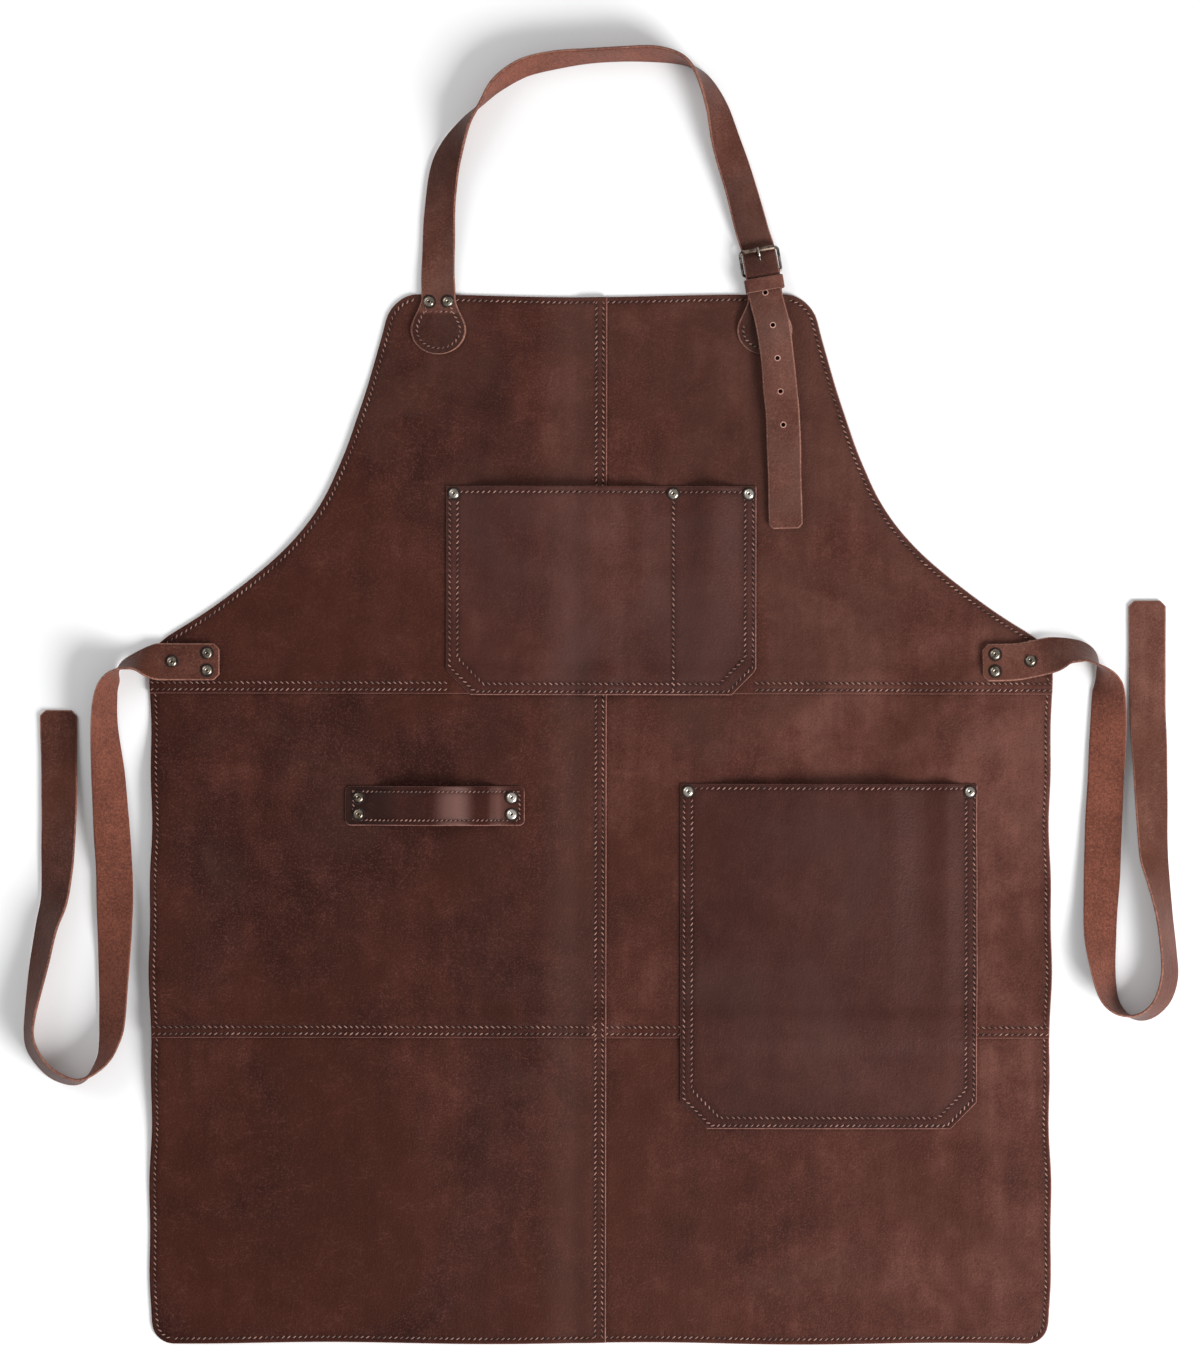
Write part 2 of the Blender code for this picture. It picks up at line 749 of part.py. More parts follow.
def build_buckle_strap(group):
    """The right round end, folded over the buckle's heel bar and back under itself."""
    pad_z = BIB_TOP + BUCKLE_STRAP_WALL / 2
    over_z = pad_z + BUCKLE_STRAP_WALL + GAP
    rivet_y = BIB_HEIGHT - PAD_RIVET_DEPTH
    line = [
        Vector((PAD_SPREAD, BIB_HEIGHT - PAD_DEPTH, pad_z)),
        Vector((PAD_SPREAD, BIB_HEIGHT - PAD_DEPTH + PAD_ROUND, pad_z)),
        Vector((PAD_SPREAD, rivet_y - STRAP_CLIMB, over_z)),
        Vector((PAD_SPREAD, rivet_y, over_z)),
        from_buckle(0.0, -STRAP_STRAIGHT, (over_z + BAR_Z + FOLD_RADIUS) / 2),
    ]
    across = Vector((-1, 0, 0))
    turned = TURN @ across
    path = [(p, across) for p in line[:4]] + [(line[4], turned)]
    for k in range(9):
        angle = math.pi / 2 - math.pi * k / 8
        y = FOLD_RADIUS * math.cos(angle)
        path.append((from_buckle(0.0, y, BAR_Z + FOLD_RADIUS * math.sin(angle)), turned))
    path.append((from_buckle(0.0, -STRAP_STRAIGHT, BAR_Z - FOLD_RADIUS), turned))
    path.append((Vector((PAD_SPREAD, rivet_y, pad_z)), across))
    path.append((Vector((PAD_SPREAD, rivet_y - STRAP_RETURN, pad_z)), across))
    table = [(*p, *a) for p, a in path]
    rows = through(table, steps=4)
    along = lengths_along(rows, axes=3)
    length = along[-1]
    places = pad_places()
    places += even_places(places[-1], length, BUCKLE_STRAP_SPACING)[1:]
    stations = []
    for s in places:
        values = [np.interp(s, along, rows[:, k]) for k in range(6)]
        half = pad_half_width(s, STRAP_WIDTH / 2)
        stations.append((Vector(values[:3]), Vector(values[3:]).normalized(), half))
    return ribbon("buckle_strap", stations, BUCKLE_STRAP_WALL, group)


def build_tie(name, side, table, group):
    """A waist tie on one side (-1 left, 1 right)."""
    on_bib = LAYER + LEATHER + GAP
    rows = []
    for out, drop, roll, base in table:
        x = side * (HALF_BODY + TIE_REACH * out)
        rows.append((x, TIE_HEIGHT + TIE_DROP * drop, -side * roll, on_bib * base))
    line = through(rows)
    line[:, 3] = np.maximum(line[:, 3], 0.0)
    length = lengths_along(line)[-1]

    def width_at(s):
        near_end = min(s, length - s)
        return TIE_WIDTH / 2 - max(TIE_CHAMFER - near_end, 0.0)

    places = [0.0] + even_places(TIE_CHAMFER, length - TIE_CHAMFER, TIE_SPACING) + [length]
    stations = rolled_stations(line, places, width_at, TIE_WALL, TIE_WIDTH)
    return ribbon(name, stations, TIE_WALL, group)


# Metal


def tube(name, points, radius, cyclic, finish, group, resolution=1):
    """A round wire through points, as a mesh with welded caps."""
    curve = bpy.data.curves.new(name, "CURVE")
    curve.dimensions = "3D"
    curve.bevel_depth = radius
    curve.bevel_resolution = resolution
    curve.use_fill_caps = not cyclic
    spline = curve.splines.new("POLY")
    spline.points.add(len(points) - 1)
    for point, place in zip(spline.points, points):
        point.co = (*place, 1.0)
    spline.use_cyclic_u = cyclic
    wire = bpy.data.objects.new(name + "_curve", curve)
    group.objects.link(wire)
    graph = bpy.context.evaluated_depsgraph_get()
    mesh = bpy.data.meshes.new_from_object(wire.evaluated_get(graph))
    mesh.name = name
    mesh.materials.clear()
    bm = bmesh.new()
    bm.from_mesh(mesh)
    bmesh.ops.remove_doubles(bm, verts=bm.verts, dist=1e-6)
    bmesh.ops.recalc_face_normals(bm, faces=bm.faces)
    bm.to_mesh(mesh)
    bm.free()
    bpy.data.objects.remove(wire, do_unlink=True)
    return add_object(name, mesh, finish, group)


def prong_slope():
    """Both ends of the stretch of the prong that passes through the strap."""
    return [Vector((0.0, share * BUCKLE_LENGTH, height)) for share, height in PRONG_SLOPE]


def build_buckle(group):
    base = bpy.data.objects.new("buckle_base", None)
    base.location = HEEL
    base.rotation_euler = (0.0, 0.0, BUCKLE_TURN)
    group.objects.link(base)

    half = BUCKLE_INNER_WIDTH / 2 + WIRE_RADIUS
    corner = BUCKLE_BEND * BUCKLE_WIRE
    rise = (ROLLER_Z - BAR_Z) / BUCKLE_LENGTH
    outline = []
    for cx, cy, start in (
        (half - corner, BUCKLE_LENGTH - corner, 0),
        (corner - half, BUCKLE_LENGTH - corner, 90),
        (corner - half, corner, 180),
        (half - corner, corner, 270),
    ):
        for k in range(4):
            angle = math.radians(start + 30 * k)
            x, y = cx + corner * math.cos(angle), cy + corner * math.sin(angle)
            outline.append((x, y, BAR_Z + rise * y))
    frame = tube("buckle_frame", outline, WIRE_RADIUS, True, STEEL_FINISH, group, resolution=2)

    roller_half = BUCKLE_INNER_WIDTH / 2 - corner / 2
    profile = [
        (ROLLER_RADIUS, roller_half),
        (ROLLER_RADIUS, -roller_half),
        (WIRE_RADIUS + GAP, -roller_half),
        (WIRE_RADIUS + GAP, roller_half),
    ]
    roller = turned("buckle_roller", profile, 12, True, STEEL_FINISH, group)
    roller.location = (0.0, BUCKLE_LENGTH, ROLLER_Z)
    roller.rotation_euler = (0.0, math.pi / 2, 0.0)

    hook = WIRE_RADIUS + GAP + PRONG_WIRE / 2
    under = BAR_Z - hook
    tip_z = ROLLER_Z + ROLLER_RADIUS + GAP + PRONG_WIRE / 2
    slope_start, slope_end = prong_slope()
    points = [
        (0.0, hook * math.sin(math.radians(a)), BAR_Z + hook * math.cos(math.radians(a)))
        for a in range(30, -181, -30)
    ]
    points += [
        (0.0, PRONG_FLAT * BUCKLE_LENGTH, under + GAP),
        tuple(slope_start),
        tuple(slope_end),
        (0.0, BUCKLE_LENGTH - WIRE_RADIUS, tip_z),
        (0.0, PRONG_REACH, tip_z - GAP),
    ]
    prong = tube("buckle_prong", points, PRONG_WIRE / 2, False, STEEL_FINISH, group)
    for piece in (frame, roller, prong):
        piece.parent = base
    return base


def build_keeper(group):
    inner_half = STRAP_WIDTH / 2 + KEEPER_SPACE
    top = STRAP_OVER_FOLD + STRAP_WALL + 2 * GAP
    bm = bmesh.new()
    bmesh.ops.create_cube(bm, size=1)
    outer_half = inner_half + KEEPER_WALL
    height = top + KEEPER_WALL
    bmesh.ops.scale(bm, vec=(2 * outer_half, KEEPER_LENGTH, height), verts=bm.verts)
    bmesh.ops.translate(bm, vec=(0, 0, height / 2), verts=bm.verts)
    mesh = bpy.data.meshes.new("keeper_loop")
    bm.to_mesh(mesh)
    bm.free()
    keeper = add_object("keeper_loop", mesh, STRAP_FINISH, group)
    keeper.location = from_buckle(0.0, -KEEPER_FROM_HEEL - KEEPER_LENGTH / 2, 0.0)
    keeper.rotation_euler = (0.0, 0.0, BUCKLE_TURN)
    edges = keeper.modifiers.new("Rounded edges", "BEVEL")
    edges.width = KEEPER_WALL / 2
    edges.segments = 2
    edges.limit_method = "ANGLE"
    return keeper, inner_half, top


# Turned pieces


def turned(name, profile, steps, cyclic, finish, group):
    """A profile of radius and height, turned round its own Z axis."""
    mesh = bpy.data.meshes.new(name)
    points = [(radius, 0.0, height) for radius, height in profile]
    edges = [(k, k + 1) for k in range(len(points) - 1)]
    if cyclic:
        edges.append((len(points) - 1, 0))
    mesh.from_pydata(points, edges, [])
    made = add_object(name, mesh, finish, group)
    screw = made.modifiers.new("Turned", "SCREW")
    screw.steps = steps
    screw.render_steps = steps
    screw.use_merge_vertices = True
    screw.merge_threshold = 1e-5
    screw.use_smooth_shade = True
    return made


def rivet_profile(seat):
    """From the middle of the cap, over its rim, down the shank to the middle of the back."""
    cap = RIVET_CAP / 2
    return [
        (0.0, seat + RIVET_RISE),
        (0.50 * cap, seat + 0.86 * RIVET_RISE),
        (0.88 * cap, seat + 0.45 * RIVET_RISE),
        (cap, seat),
        (RIVET_SHANK / 2, seat),
        (RIVET_SHANK / 2, RIVET_BACK_WALL),
        (RIVET_BACK / 2, RIVET_BACK_WALL),
        (RIVET_BACK / 2, 0.0),
        (0.0, 0.0),
    ]


def hole_profile(top):
    """A cutter for a rivet: its back's recess, then its shank's hole."""
    back = RIVET_BACK / 2 + GAP
    shank = RIVET_SHANK / 2 + GAP
    return [
        (0.0, top),
        (shank, top),
        (shank, RIVET_BACK_WALL + GAP),
        (back, RIVET_BACK_WALL + GAP),
        (back, -CUTTER_REACH),
        (0.0, -CUTTER_REACH),
    ]


def cut(piece, cutter):
    made = piece.modifiers.new("Hole", "BOOLEAN")
    made.operation = "DIFFERENCE"
    made.solver = "EXACT"
    made.object = cutter


def hide_cutter(cutter):
    cutter.hide_render = True
    cutter.display_type = "WIRE"


def rivet_table():
    """Each rivet: name, x, y, height of the leather below its cap, pieces that it passes."""
    strap_top = BIB_TOP + STRAP_WALL
    pocket_top = LAYER + LEATHER
    tie_top = LAYER + LEATHER + GAP + TIE_WALL
    pad_y = BIB_HEIGHT - PAD_RIVET_DEPTH
    rivets = []
    for k, step in enumerate((-1, 1), 1):
        x = -PAD_SPREAD + step * PAD_RIVET_GAP / 2
        rivets.append((f"rivet_neck_left_{k}", x, pad_y, strap_top, ("bib_left", "neck_strap")))
    for k, step in enumerate((-1, 1), 1):
        x = PAD_SPREAD + step * PAD_RIVET_GAP / 2
        through_pieces = ("bib_right", "buckle_strap")
        rivets.append((f"rivet_neck_right_{k}", x, pad_y, DOUBLE_TOP, through_pieces))

    mouth = BIB_POCKET_BOTTOM + BIB_POCKET_HEIGHT - RIVET_INSET
    edge = BIB_POCKET_WIDTH / 2 - RIVET_INSET
    for k, x in enumerate((-edge, BIB_POCKET_DIVIDER, edge), 1):
        body = "bib_left" if x < SEAM_X else "bib_right"
        rivets.append((f"rivet_bib_pocket_{k}", x, mouth, pocket_top, (body, "bib_pocket")))

    mouth = -HIP_POCKET_TOP_DEPTH - RIVET_INSET
    edge = HIP_POCKET_WIDTH / 2 - RIVET_INSET
    for k, step in enumerate((-1, 1), 1):
        x = HIP_POCKET_CENTRE_X + step * edge
        rivets.append((f"rivet_hip_pocket_{k}", x, mouth, pocket_top, ("mid_right", "hip_pocket")))

    edge = TOOL_LOOP_WIDTH / 2 - LOOP_RIVET_INSET
    middle = -TOOL_LOOP_TOP_DEPTH - TOOL_LOOP_HEIGHT / 2
    places = [(a, b) for a in (-1, 1) for b in (1, -1)]
    for k, (a, b) in enumerate(places, 1):
        x, y = TOOL_LOOP_CENTRE_X + a * edge, middle + b * LOOP_RIVET_GAP / 2
        rivets.append((f"rivet_tool_loop_{k}", x, y, pocket_top, ("mid_left", "tool_loop")))

    for side, word, table in ((-1, "left", LEFT_TIE_ROUTE), (1, "right", RIGHT_TIE_ROUTE)):
        end = HALF_BODY + TIE_REACH * table[0][0] + TIE_RIVET_INSET
        inner = (side * end, TIE_HEIGHT + TIE_RIVET_GAP / 2)
        lower = (side * end, TIE_HEIGHT - TIE_RIVET_GAP / 2)
        outer = (side * (end + TIE_RIVET_ROW), TIE_HEIGHT + TIE_DROP * table[2][1])
        pieces = (f"bib_{word}", f"waist_tie_{word}")
        for k, (x, y) in enumerate((inner, lower, outer), 1):
            rivets.append((f"rivet_tie_{word}_{k}", x, y, tie_top, pieces))
    return rivets


def build_rivets(pieces, group, cutters):
    for name, x, y, under_cap, passed in rivet_table():
        seat = under_cap + GAP
        rivet = turned(name, rivet_profile(seat), 8, False, BRASS_FINISH, group)
        rivet.location = (x, y, 0.0)
        profile = hole_profile(seat + CUTTER_REACH / 2)
        cutter = turned(name + "_hole", profile, 8, False, BRASS_FINISH, cutters)
        cutter.location = (x, y, 0.0)
        cutter.rotation_euler = (0.0, 0.0, CUTTER_TWIST)
        hide_cutter(cutter)
        for piece in passed:
            cut(pieces[piece], cutter)


def punch_strap_holes(strap, cutters):
    """The round holes of the tail, and the one that the prong fills."""
    line = neck_line()
    along = lengths_along(line)
    start, end = prong_slope()
    middle = (start + end) / 2
    direction = TURN @ (end - start)
    bore = add_cylinder("prong_hole", PRONG_WIRE / 2 + GAP, PRONG_BORE_DEPTH, cutters)
    bore.location = from_buckle(*middle)
    bore.rotation_mode = "QUATERNION"
    bore.rotation_quaternion = direction.to_track_quat("Z", "Y")
    cut(strap, bore)
    target = from_buckle(*middle)
    nearest = int(np.argmin((line[:, 0] - target.x) ** 2 + (line[:, 1] - target.y) ** 2))
    for k in range(1, HOLES + 1):
        s = along[nearest] + HOLE_PITCH * k
        x, y, base = (float(np.interp(s, along, line[:, c])) for c in (0, 1, 3))
        hole = add_cylinder(f"tail_hole_{k}", HOLE_DIAMETER / 2, STRAP_WALL + 2 * CUTTER_REACH, cutters)
        hole.location = (x, y, base + STRAP_WALL / 2)
        cut(strap, hole)


def add_cylinder(name, radius, depth, cutters):
    bm = bmesh.new()
    bmesh.ops.create_cone(
        bm, cap_ends=True, segments=10, radius1=radius, radius2=radius, depth=depth
    )
    mesh = bpy.data.meshes.new(name)
    bm.to_mesh(mesh)
    bm.free()
    made = bpy.data.objects.new(name, mesh)
    cutters.objects.link(made)
    hide_cutter(made)
    return made


def add_box(name, size, location, turn, cutters):
    bm = bmesh.new()
    bmesh.ops.create_cube(bm, size=1)
    bmesh.ops.scale(bm, vec=size, verts=bm.verts)
    mesh = bpy.data.meshes.new(name)
    bm.to_mesh(mesh)
    bm.free()
    made = bpy.data.objects.new(name, mesh)
    made.location = location
    made.rotation_euler = (0.0, 0.0, turn)
    cutters.objects.link(made)
    hide_cutter(made)
    return made


def main():
    empty_scene()
    group = collection("blacksmith_apron")
    cutters = collection("cutters")
    pieces = build_body(group)
    pieces.update(build_pockets(group))
    pieces["neck_strap"] = build_neck_strap(group)
    pieces["buckle_strap"] = build_buckle_strap(group)
    pieces["waist_tie_left"] = build_tie("waist_tie_left", -1, LEFT_TIE_ROUTE, group)
    pieces["waist_tie_right"] = build_tie("waist_tie_right", 1, RIGHT_TIE_ROUTE, group)
    build_buckle(group)

    keeper, inner_half, top = build_keeper(group)
    middle = Vector((0.0, -KEEPER_FROM_HEEL - KEEPER_LENGTH / 2, (KEEPER_WALL + top) / 2))
    space = (2 * inner_half, 2 * KEEPER_LENGTH, top - KEEPER_WALL)
    cut(keeper, add_box("keeper_space", space, from_buckle(*middle), BUCKLE_TURN, cutters))

    slot = (PRONG_WIRE + 4 * GAP, 4.2 * FOLD_RADIUS, 4 * FOLD_RADIUS)
    slot_place = from_buckle(0.0, 0.0, BAR_Z)
    cut(pieces["buckle_strap"], add_box("prong_slot", slot, slot_place, BUCKLE_TURN, cutters))

    punch_strap_holes(pieces["neck_strap"], cutters)
    build_rivets(pieces, group, cutters)


main()
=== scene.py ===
import json
import math

import bmesh
import bpy
import numpy as np
from mathutils import Matrix, Vector
from mathutils.kdtree import KDTree

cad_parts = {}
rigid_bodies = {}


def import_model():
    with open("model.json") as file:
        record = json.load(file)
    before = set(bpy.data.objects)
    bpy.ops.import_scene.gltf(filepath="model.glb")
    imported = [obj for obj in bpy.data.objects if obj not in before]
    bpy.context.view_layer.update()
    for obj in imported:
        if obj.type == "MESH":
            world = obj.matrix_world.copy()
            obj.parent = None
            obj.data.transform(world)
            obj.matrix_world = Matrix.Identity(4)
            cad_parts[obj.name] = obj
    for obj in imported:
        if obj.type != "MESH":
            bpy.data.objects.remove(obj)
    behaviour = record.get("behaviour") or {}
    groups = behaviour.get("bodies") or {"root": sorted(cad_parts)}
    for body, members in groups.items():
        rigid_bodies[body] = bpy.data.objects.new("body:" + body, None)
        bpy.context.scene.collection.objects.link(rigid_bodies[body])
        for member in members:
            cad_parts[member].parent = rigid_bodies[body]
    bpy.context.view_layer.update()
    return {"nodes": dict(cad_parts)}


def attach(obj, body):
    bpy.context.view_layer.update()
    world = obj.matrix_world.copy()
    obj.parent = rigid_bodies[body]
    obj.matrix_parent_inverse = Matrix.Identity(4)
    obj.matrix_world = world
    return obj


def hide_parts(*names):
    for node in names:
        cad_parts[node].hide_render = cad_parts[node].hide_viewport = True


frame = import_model()
scene = bpy.context.scene


# %% [markdown]
# ## Curves
# Leather has no sharp steps, so every change of height or width here is eased. `smooth` is a soft
# step, `folds` runs softly through a table, and `through` lays a smooth line through the rows of a
# table. They work on single numbers and on whole grids of places alike.
# %% Helpers for curves
def smooth(share):
    t = np.clip(share, 0.0, 1.0)
    return t * t * (3 - 2 * t)


def folds(table, share):
    value = table[0][1] + 0.0 * np.asarray(share, float)
    for (x0, y0), (x1, y1) in zip(table, table[1:]):
        value = value + (y1 - y0) * smooth((share - x0) / (x1 - x0))
    return value


def through(rows, steps=12):
    """A Catmull-Rom line: it passes each row, and leaves it in the direction of its neighbours."""
    rows = np.asarray(rows, float)
    ends = np.vstack([2 * rows[0] - rows[1], rows, 2 * rows[-1] - rows[-2]])
    line = []
    for p0, p1, p2, p3 in zip(ends, ends[1:], ends[2:], ends[3:]):
        for step in range(steps):
            t = step / steps
            line.append(
                p1
                + 0.5 * t * (p2 - p0)
                + t * t * (p0 - 2.5 * p1 + 2 * p2 - 0.5 * p3)
                + t**3 * (1.5 * (p1 - p2) + 0.5 * (p3 - p0))
            )
    line.append(rows[-1])
    return np.array(line)


def along(line, axes=2):
    """How far each point of a line is from its start, measured along the line."""
    steps = np.linalg.norm(np.diff(line[:, :axes], axis=0), axis=1)
    return np.concatenate([[0.0], np.cumsum(steps)])


print("half way up a soft step:", float(smooth(0.5)))


# %% [markdown]
# ## Where the points of a sheet lie
# The body of a sheet is nearly flat and needs few points. The first centimetre from a cut edge
# needs many: there the edge rounds over, and two rows of stitches pull the leather down.
# %% Spacing of points
EDGE = (0.0, 0.0004, 0.0011, 0.0019, 0.0027, 0.0035, 0.0044, 0.0055, 0.0068, 0.0079, 0.0090, 0.0110)
BODY_SPACING = 0.0045


def evenly(start, end, spacing):
    return list(np.linspace(start, end, max(2, math.ceil(abs(end - start) / spacing) + 1)))


def from_both_ends(start, end, spacing=BODY_SPACING):
    inner = evenly(start + EDGE[-1], end - EDGE[-1], spacing)
    return [start + d for d in EDGE[:-1]] + inner + [end - d for d in reversed(EDGE[:-1])]


print("points across 30 cm:", len(from_both_ends(0.0, 0.3)))


# %% [markdown]
# ## The outline of the body
# All lengths are in metres. The bib narrows in a hollow curve, from the full width at the waist to
# the straps. The table gives that curve as shares of the bib's height and of half the body's
# width. Five neighbouring places are averaged, so that no corner of the table shows in the edge.
# %% Outline of the body
BODY_WIDTH = 0.674
HALF_BODY = BODY_WIDTH / 2
BIB_HEIGHT = 0.299
HEM_Y = -0.487
LOWER_Y = -0.258
BIB_CORNER = 0.020
HEM_CORNER = 0.016
OUTLINE_BLUR = (-0.03, -0.015, 0.0, 0.015, 0.03)
BIB_OUTLINE = (
    (0.000, 1.000),
    (0.118, 1.000),
    (0.193, 0.890),
    (0.268, 0.798),
    (0.343, 0.717),
    (0.419, 0.655),
    (0.494, 0.612),
    (0.607, 0.568),
    (0.757, 0.523),
    (0.907, 0.485),
    (1.000, 0.466),
)


def half_width(y):
    y = np.asarray(y, float)
    shares, widths = zip(*BIB_OUTLINE)
    blurred = [np.interp(y / BIB_HEIGHT + d, shares, widths) for d in OUTLINE_BLUR]
    width = HALF_BODY * np.where(y > 0, np.mean(blurred, axis=0), 1.0)
    for into, radius in (
        (y - (BIB_HEIGHT - BIB_CORNER), BIB_CORNER),
        (HEM_Y + HEM_CORNER - y, HEM_CORNER),
    ):
        into = np.clip(into, 0.0, radius)
        width = width - (radius - np.sqrt(radius**2 - into**2))
    return width


print("half widths:", [round(float(half_width(y)), 3) for y in (-0.4, 0.1, 0.2, 0.27)])


# %% [markdown]
# ## How the layers lap
# The six panels lap like roof tiles: the left side over the right, the bib over the middle, the
# middle over the skirt. A piece climbs one layer over each hidden edge, on a short slope. A layer
# is the leather and the thin gap of air that two stiff sheets keep between them.
# %% Climbs over the laps
LEATHER = 0.0016
GAP = 0.0003
LAYER = LEATHER + GAP
SEAM_X = 0.004
LAP = 0.012
RAMP = 0.014


def left_rise(x):
    return smooth((x - (SEAM_X - LAP - RAMP)) / RAMP)


def right_fall(x):
    return smooth((SEAM_X + RAMP - x) / RAMP)


def waist_rise(y):
    return smooth((LAP + RAMP - y) / RAMP)


def lower_rise(y):
    return smooth((LOWER_Y + LAP + RAMP - y) / RAMP)


def lower_plateau(y):
    return np.minimum(lower_rise(y), smooth((y - (LOWER_Y - RAMP)) / RAMP))


def top_of(height):
    return lambda x, y: height(x, y) + LEATHER


print("a layer is", round(LAYER * 1000, 2), "mm")


# %% [markdown]
# ## Leather that doesn't lie quite flat
# A worn apron has hung from a hook. Its left side stands a little off the floor between waist and
# hem, and the whole body is uneven by a millimetre or two. Three crossed waves give that without a
# pattern that repeats. They fade out under the straps, which have to lie on firm ground.
# %% Lift and waves
SIDE_LIFT = 0.009
SIDE_LIFT_WIDTH = 0.075
LIFT_TOP, LIFT_TOP_RAMP = 0.02, 0.16
LIFT_FOOT, LIFT_FOOT_RAMP = 0.80, 0.40
WAVE_HEIGHT = 0.0014
# Share of the wave, turns across and up, and where it starts.
WAVES = ((0.40, 17, 6, 0.6), (0.32, -24, 13, 2.1), (0.28, 43, -9, 4.0))
STILL_ABOVE, STILL_MARGIN, STILL_RAMP = 0.245, 0.06, 0.05
FREE_BELOW = -0.05


def side_lift(x, y):
    across = smooth((-x - (HALF_BODY - SIDE_LIFT_WIDTH)) / SIDE_LIFT_WIDTH)
    below_waist = smooth((-y + LIFT_TOP * HEM_Y) / (-LIFT_TOP_RAMP * HEM_Y))
    above_hem = smooth((y - LIFT_FOOT * HEM_Y) / (-LIFT_FOOT_RAMP * HEM_Y))
    return SIDE_LIFT * across * below_waist * above_hem


def waves(x, y):
    ripple = sum(share * np.sin(a * x + b * y + start) for share, a, b, start in WAVES)
    from_side = (HALF_BODY - STILL_MARGIN - abs(x)) / STILL_MARGIN + (y < FREE_BELOW)
    clear = smooth((STILL_ABOVE - y) / STILL_RAMP) * smooth(from_side)
    return WAVE_HEIGHT * (1 + ripple) * clear


print("waves at the middle, mm:", round(1000 * float(waves(0.1, -0.1)), 2))


# %% [markdown]
# ## The height of each panel
# With the climbs and the waves, the underside of every panel is one sum. The lowest panel lies on
# the floor, and each one above adds the layers that are under it.
# %% Heights of the panels
def low_right(x, y):
    return side_lift(x, y) + waves(x, y)


def low_left(x, y):
    return LAYER * left_rise(x) + low_right(x, y)


def mid_right(x, y):
    return LAYER * lower_rise(y) * (1 + right_fall(x)) + low_right(x, y)


def mid_left(x, y):
    rise = left_rise(x)
    return LAYER * (rise + lower_rise(y) * (1 + rise)) + low_right(x, y)


def bib_right(x, y):
    return LAYER * waist_rise(y) * (1 + right_fall(x)) + waves(x, y)


def bib_left(x, y):
    rise = left_rise(x)
    return LAYER * (rise + waist_rise(y) * (1 + rise)) + waves(x, y)


print("underside of bib_left, mm:", round(1000 * float(bib_left(0.0, 0.1)), 1))


# %% [markdown]
# ## The height of the pockets and the tool loop
# A pocket is sewn flat at its foot and bows out toward its open mouth, where hands have stretched
# it. Each table gives that bow across the pocket, as shares of its width and of its crown. The
# tool loop arches over the body between its two riveted ends.
# %% Heights of the pockets and the loop
BIB_POCKET = dict(x=0.0, width=0.232, bottom=-0.001, height=0.156, chamfer=0.0185, crown=0.0068)
HIP_POCKET = dict(x=0.171, width=0.222, bottom=-0.326, height=0.258, chamfer=0.020, crown=0.0085)
POCKET_MARGIN = 0.009
LOOP_WIDTH = 0.134
LOOP_HEIGHT = 0.029
LOOP_X = -0.1243
LOOP_TOP = -0.070
LOOP_RISE = 0.0105
BIB_POCKET_FOLDS = (
    (0.00, 0.00),
    (0.04, 0.00),
    (0.16, 0.70),
    (0.30, 1.00),
    (0.48, 0.85),
    (0.62, 0.60),
    (0.70, 0.00),
    (0.755, 0.00),
    (0.86, 0.90),
    (0.96, 0.00),
    (1.00, 0.00),
)
HIP_POCKET_FOLDS = (
    (0.00, 0.00),
    (0.04, 0.00),
    (0.25, 0.60),
    (0.50, 0.85),
    (0.70, 1.00),
    (0.83, 0.35),
    (0.895, 0.55),
    (0.96, 0.00),
    (1.00, 0.00),
)
TOOL_LOOP_ARCH = (
    (0.00, 0.00),
    (0.14, 0.00),
    (0.30, 0.55),
    (0.48, 1.00),
    (0.60, 0.85),
    (0.71, 0.42),
    (0.80, 0.50),
    (0.87, 0.00),
    (1.00, 0.00),
)


def pocket_crown(pocket, table, x, y):
    share = (x - pocket["x"]) / pocket["width"] + 0.5
    up = (y - pocket["bottom"] - POCKET_MARGIN) / (pocket["height"] - POCKET_MARGIN)
    return pocket["crown"] * folds(table, share) * smooth(up)


def bib_pocket(x, y):
    rise = np.minimum(left_rise(x), right_fall(x))
    crown = pocket_crown(BIB_POCKET, BIB_POCKET_FOLDS, x, y)
    return LAYER * (1 + rise + waist_rise(y) * (1 + rise)) + crown + waves(x, y)


def hip_pocket(x, y):
    crown = pocket_crown(HIP_POCKET, HIP_POCKET_FOLDS, x, y)
    return LAYER * (1 + lower_plateau(y)) + crown + waves(x, y)


def tool_loop(x, y):
    share = (x - LOOP_X) / LOOP_WIDTH + 0.5
    return LAYER + LOOP_RISE * folds(TOOL_LOOP_ARCH, share) + low_right(x, y)


print("top of the loop's arch, mm:", round(1000 * float(tool_loop(LOOP_X, LOOP_TOP)), 1))


# %% [markdown]
# ## Camera
# The photograph was taken from straight above. A camera high up with a long lens sees the sides of
# the straps as little as the photograph does. The small shift and turn line the two pictures up.
# %% Camera
CAMERA_HEIGHT = 5.0
VIEW_HEIGHT = 1.0215
SENSOR = 36.0

camera_data = bpy.data.cameras.new("Camera")
camera_data.sensor_width = SENSOR
camera_data.lens = SENSOR * CAMERA_HEIGHT / VIEW_HEIGHT
camera = bpy.data.objects.new("Camera", camera_data)
camera.location = (-0.0008, 0.0093, CAMERA_HEIGHT)
camera.rotation_euler = (0.0, 0.0, math.radians(0.08))
scene.collection.objects.link(camera)
scene.camera = camera
scene.view_settings.view_transform = "Standard"
print("lens:", round(camera_data.lens, 1), "mm")


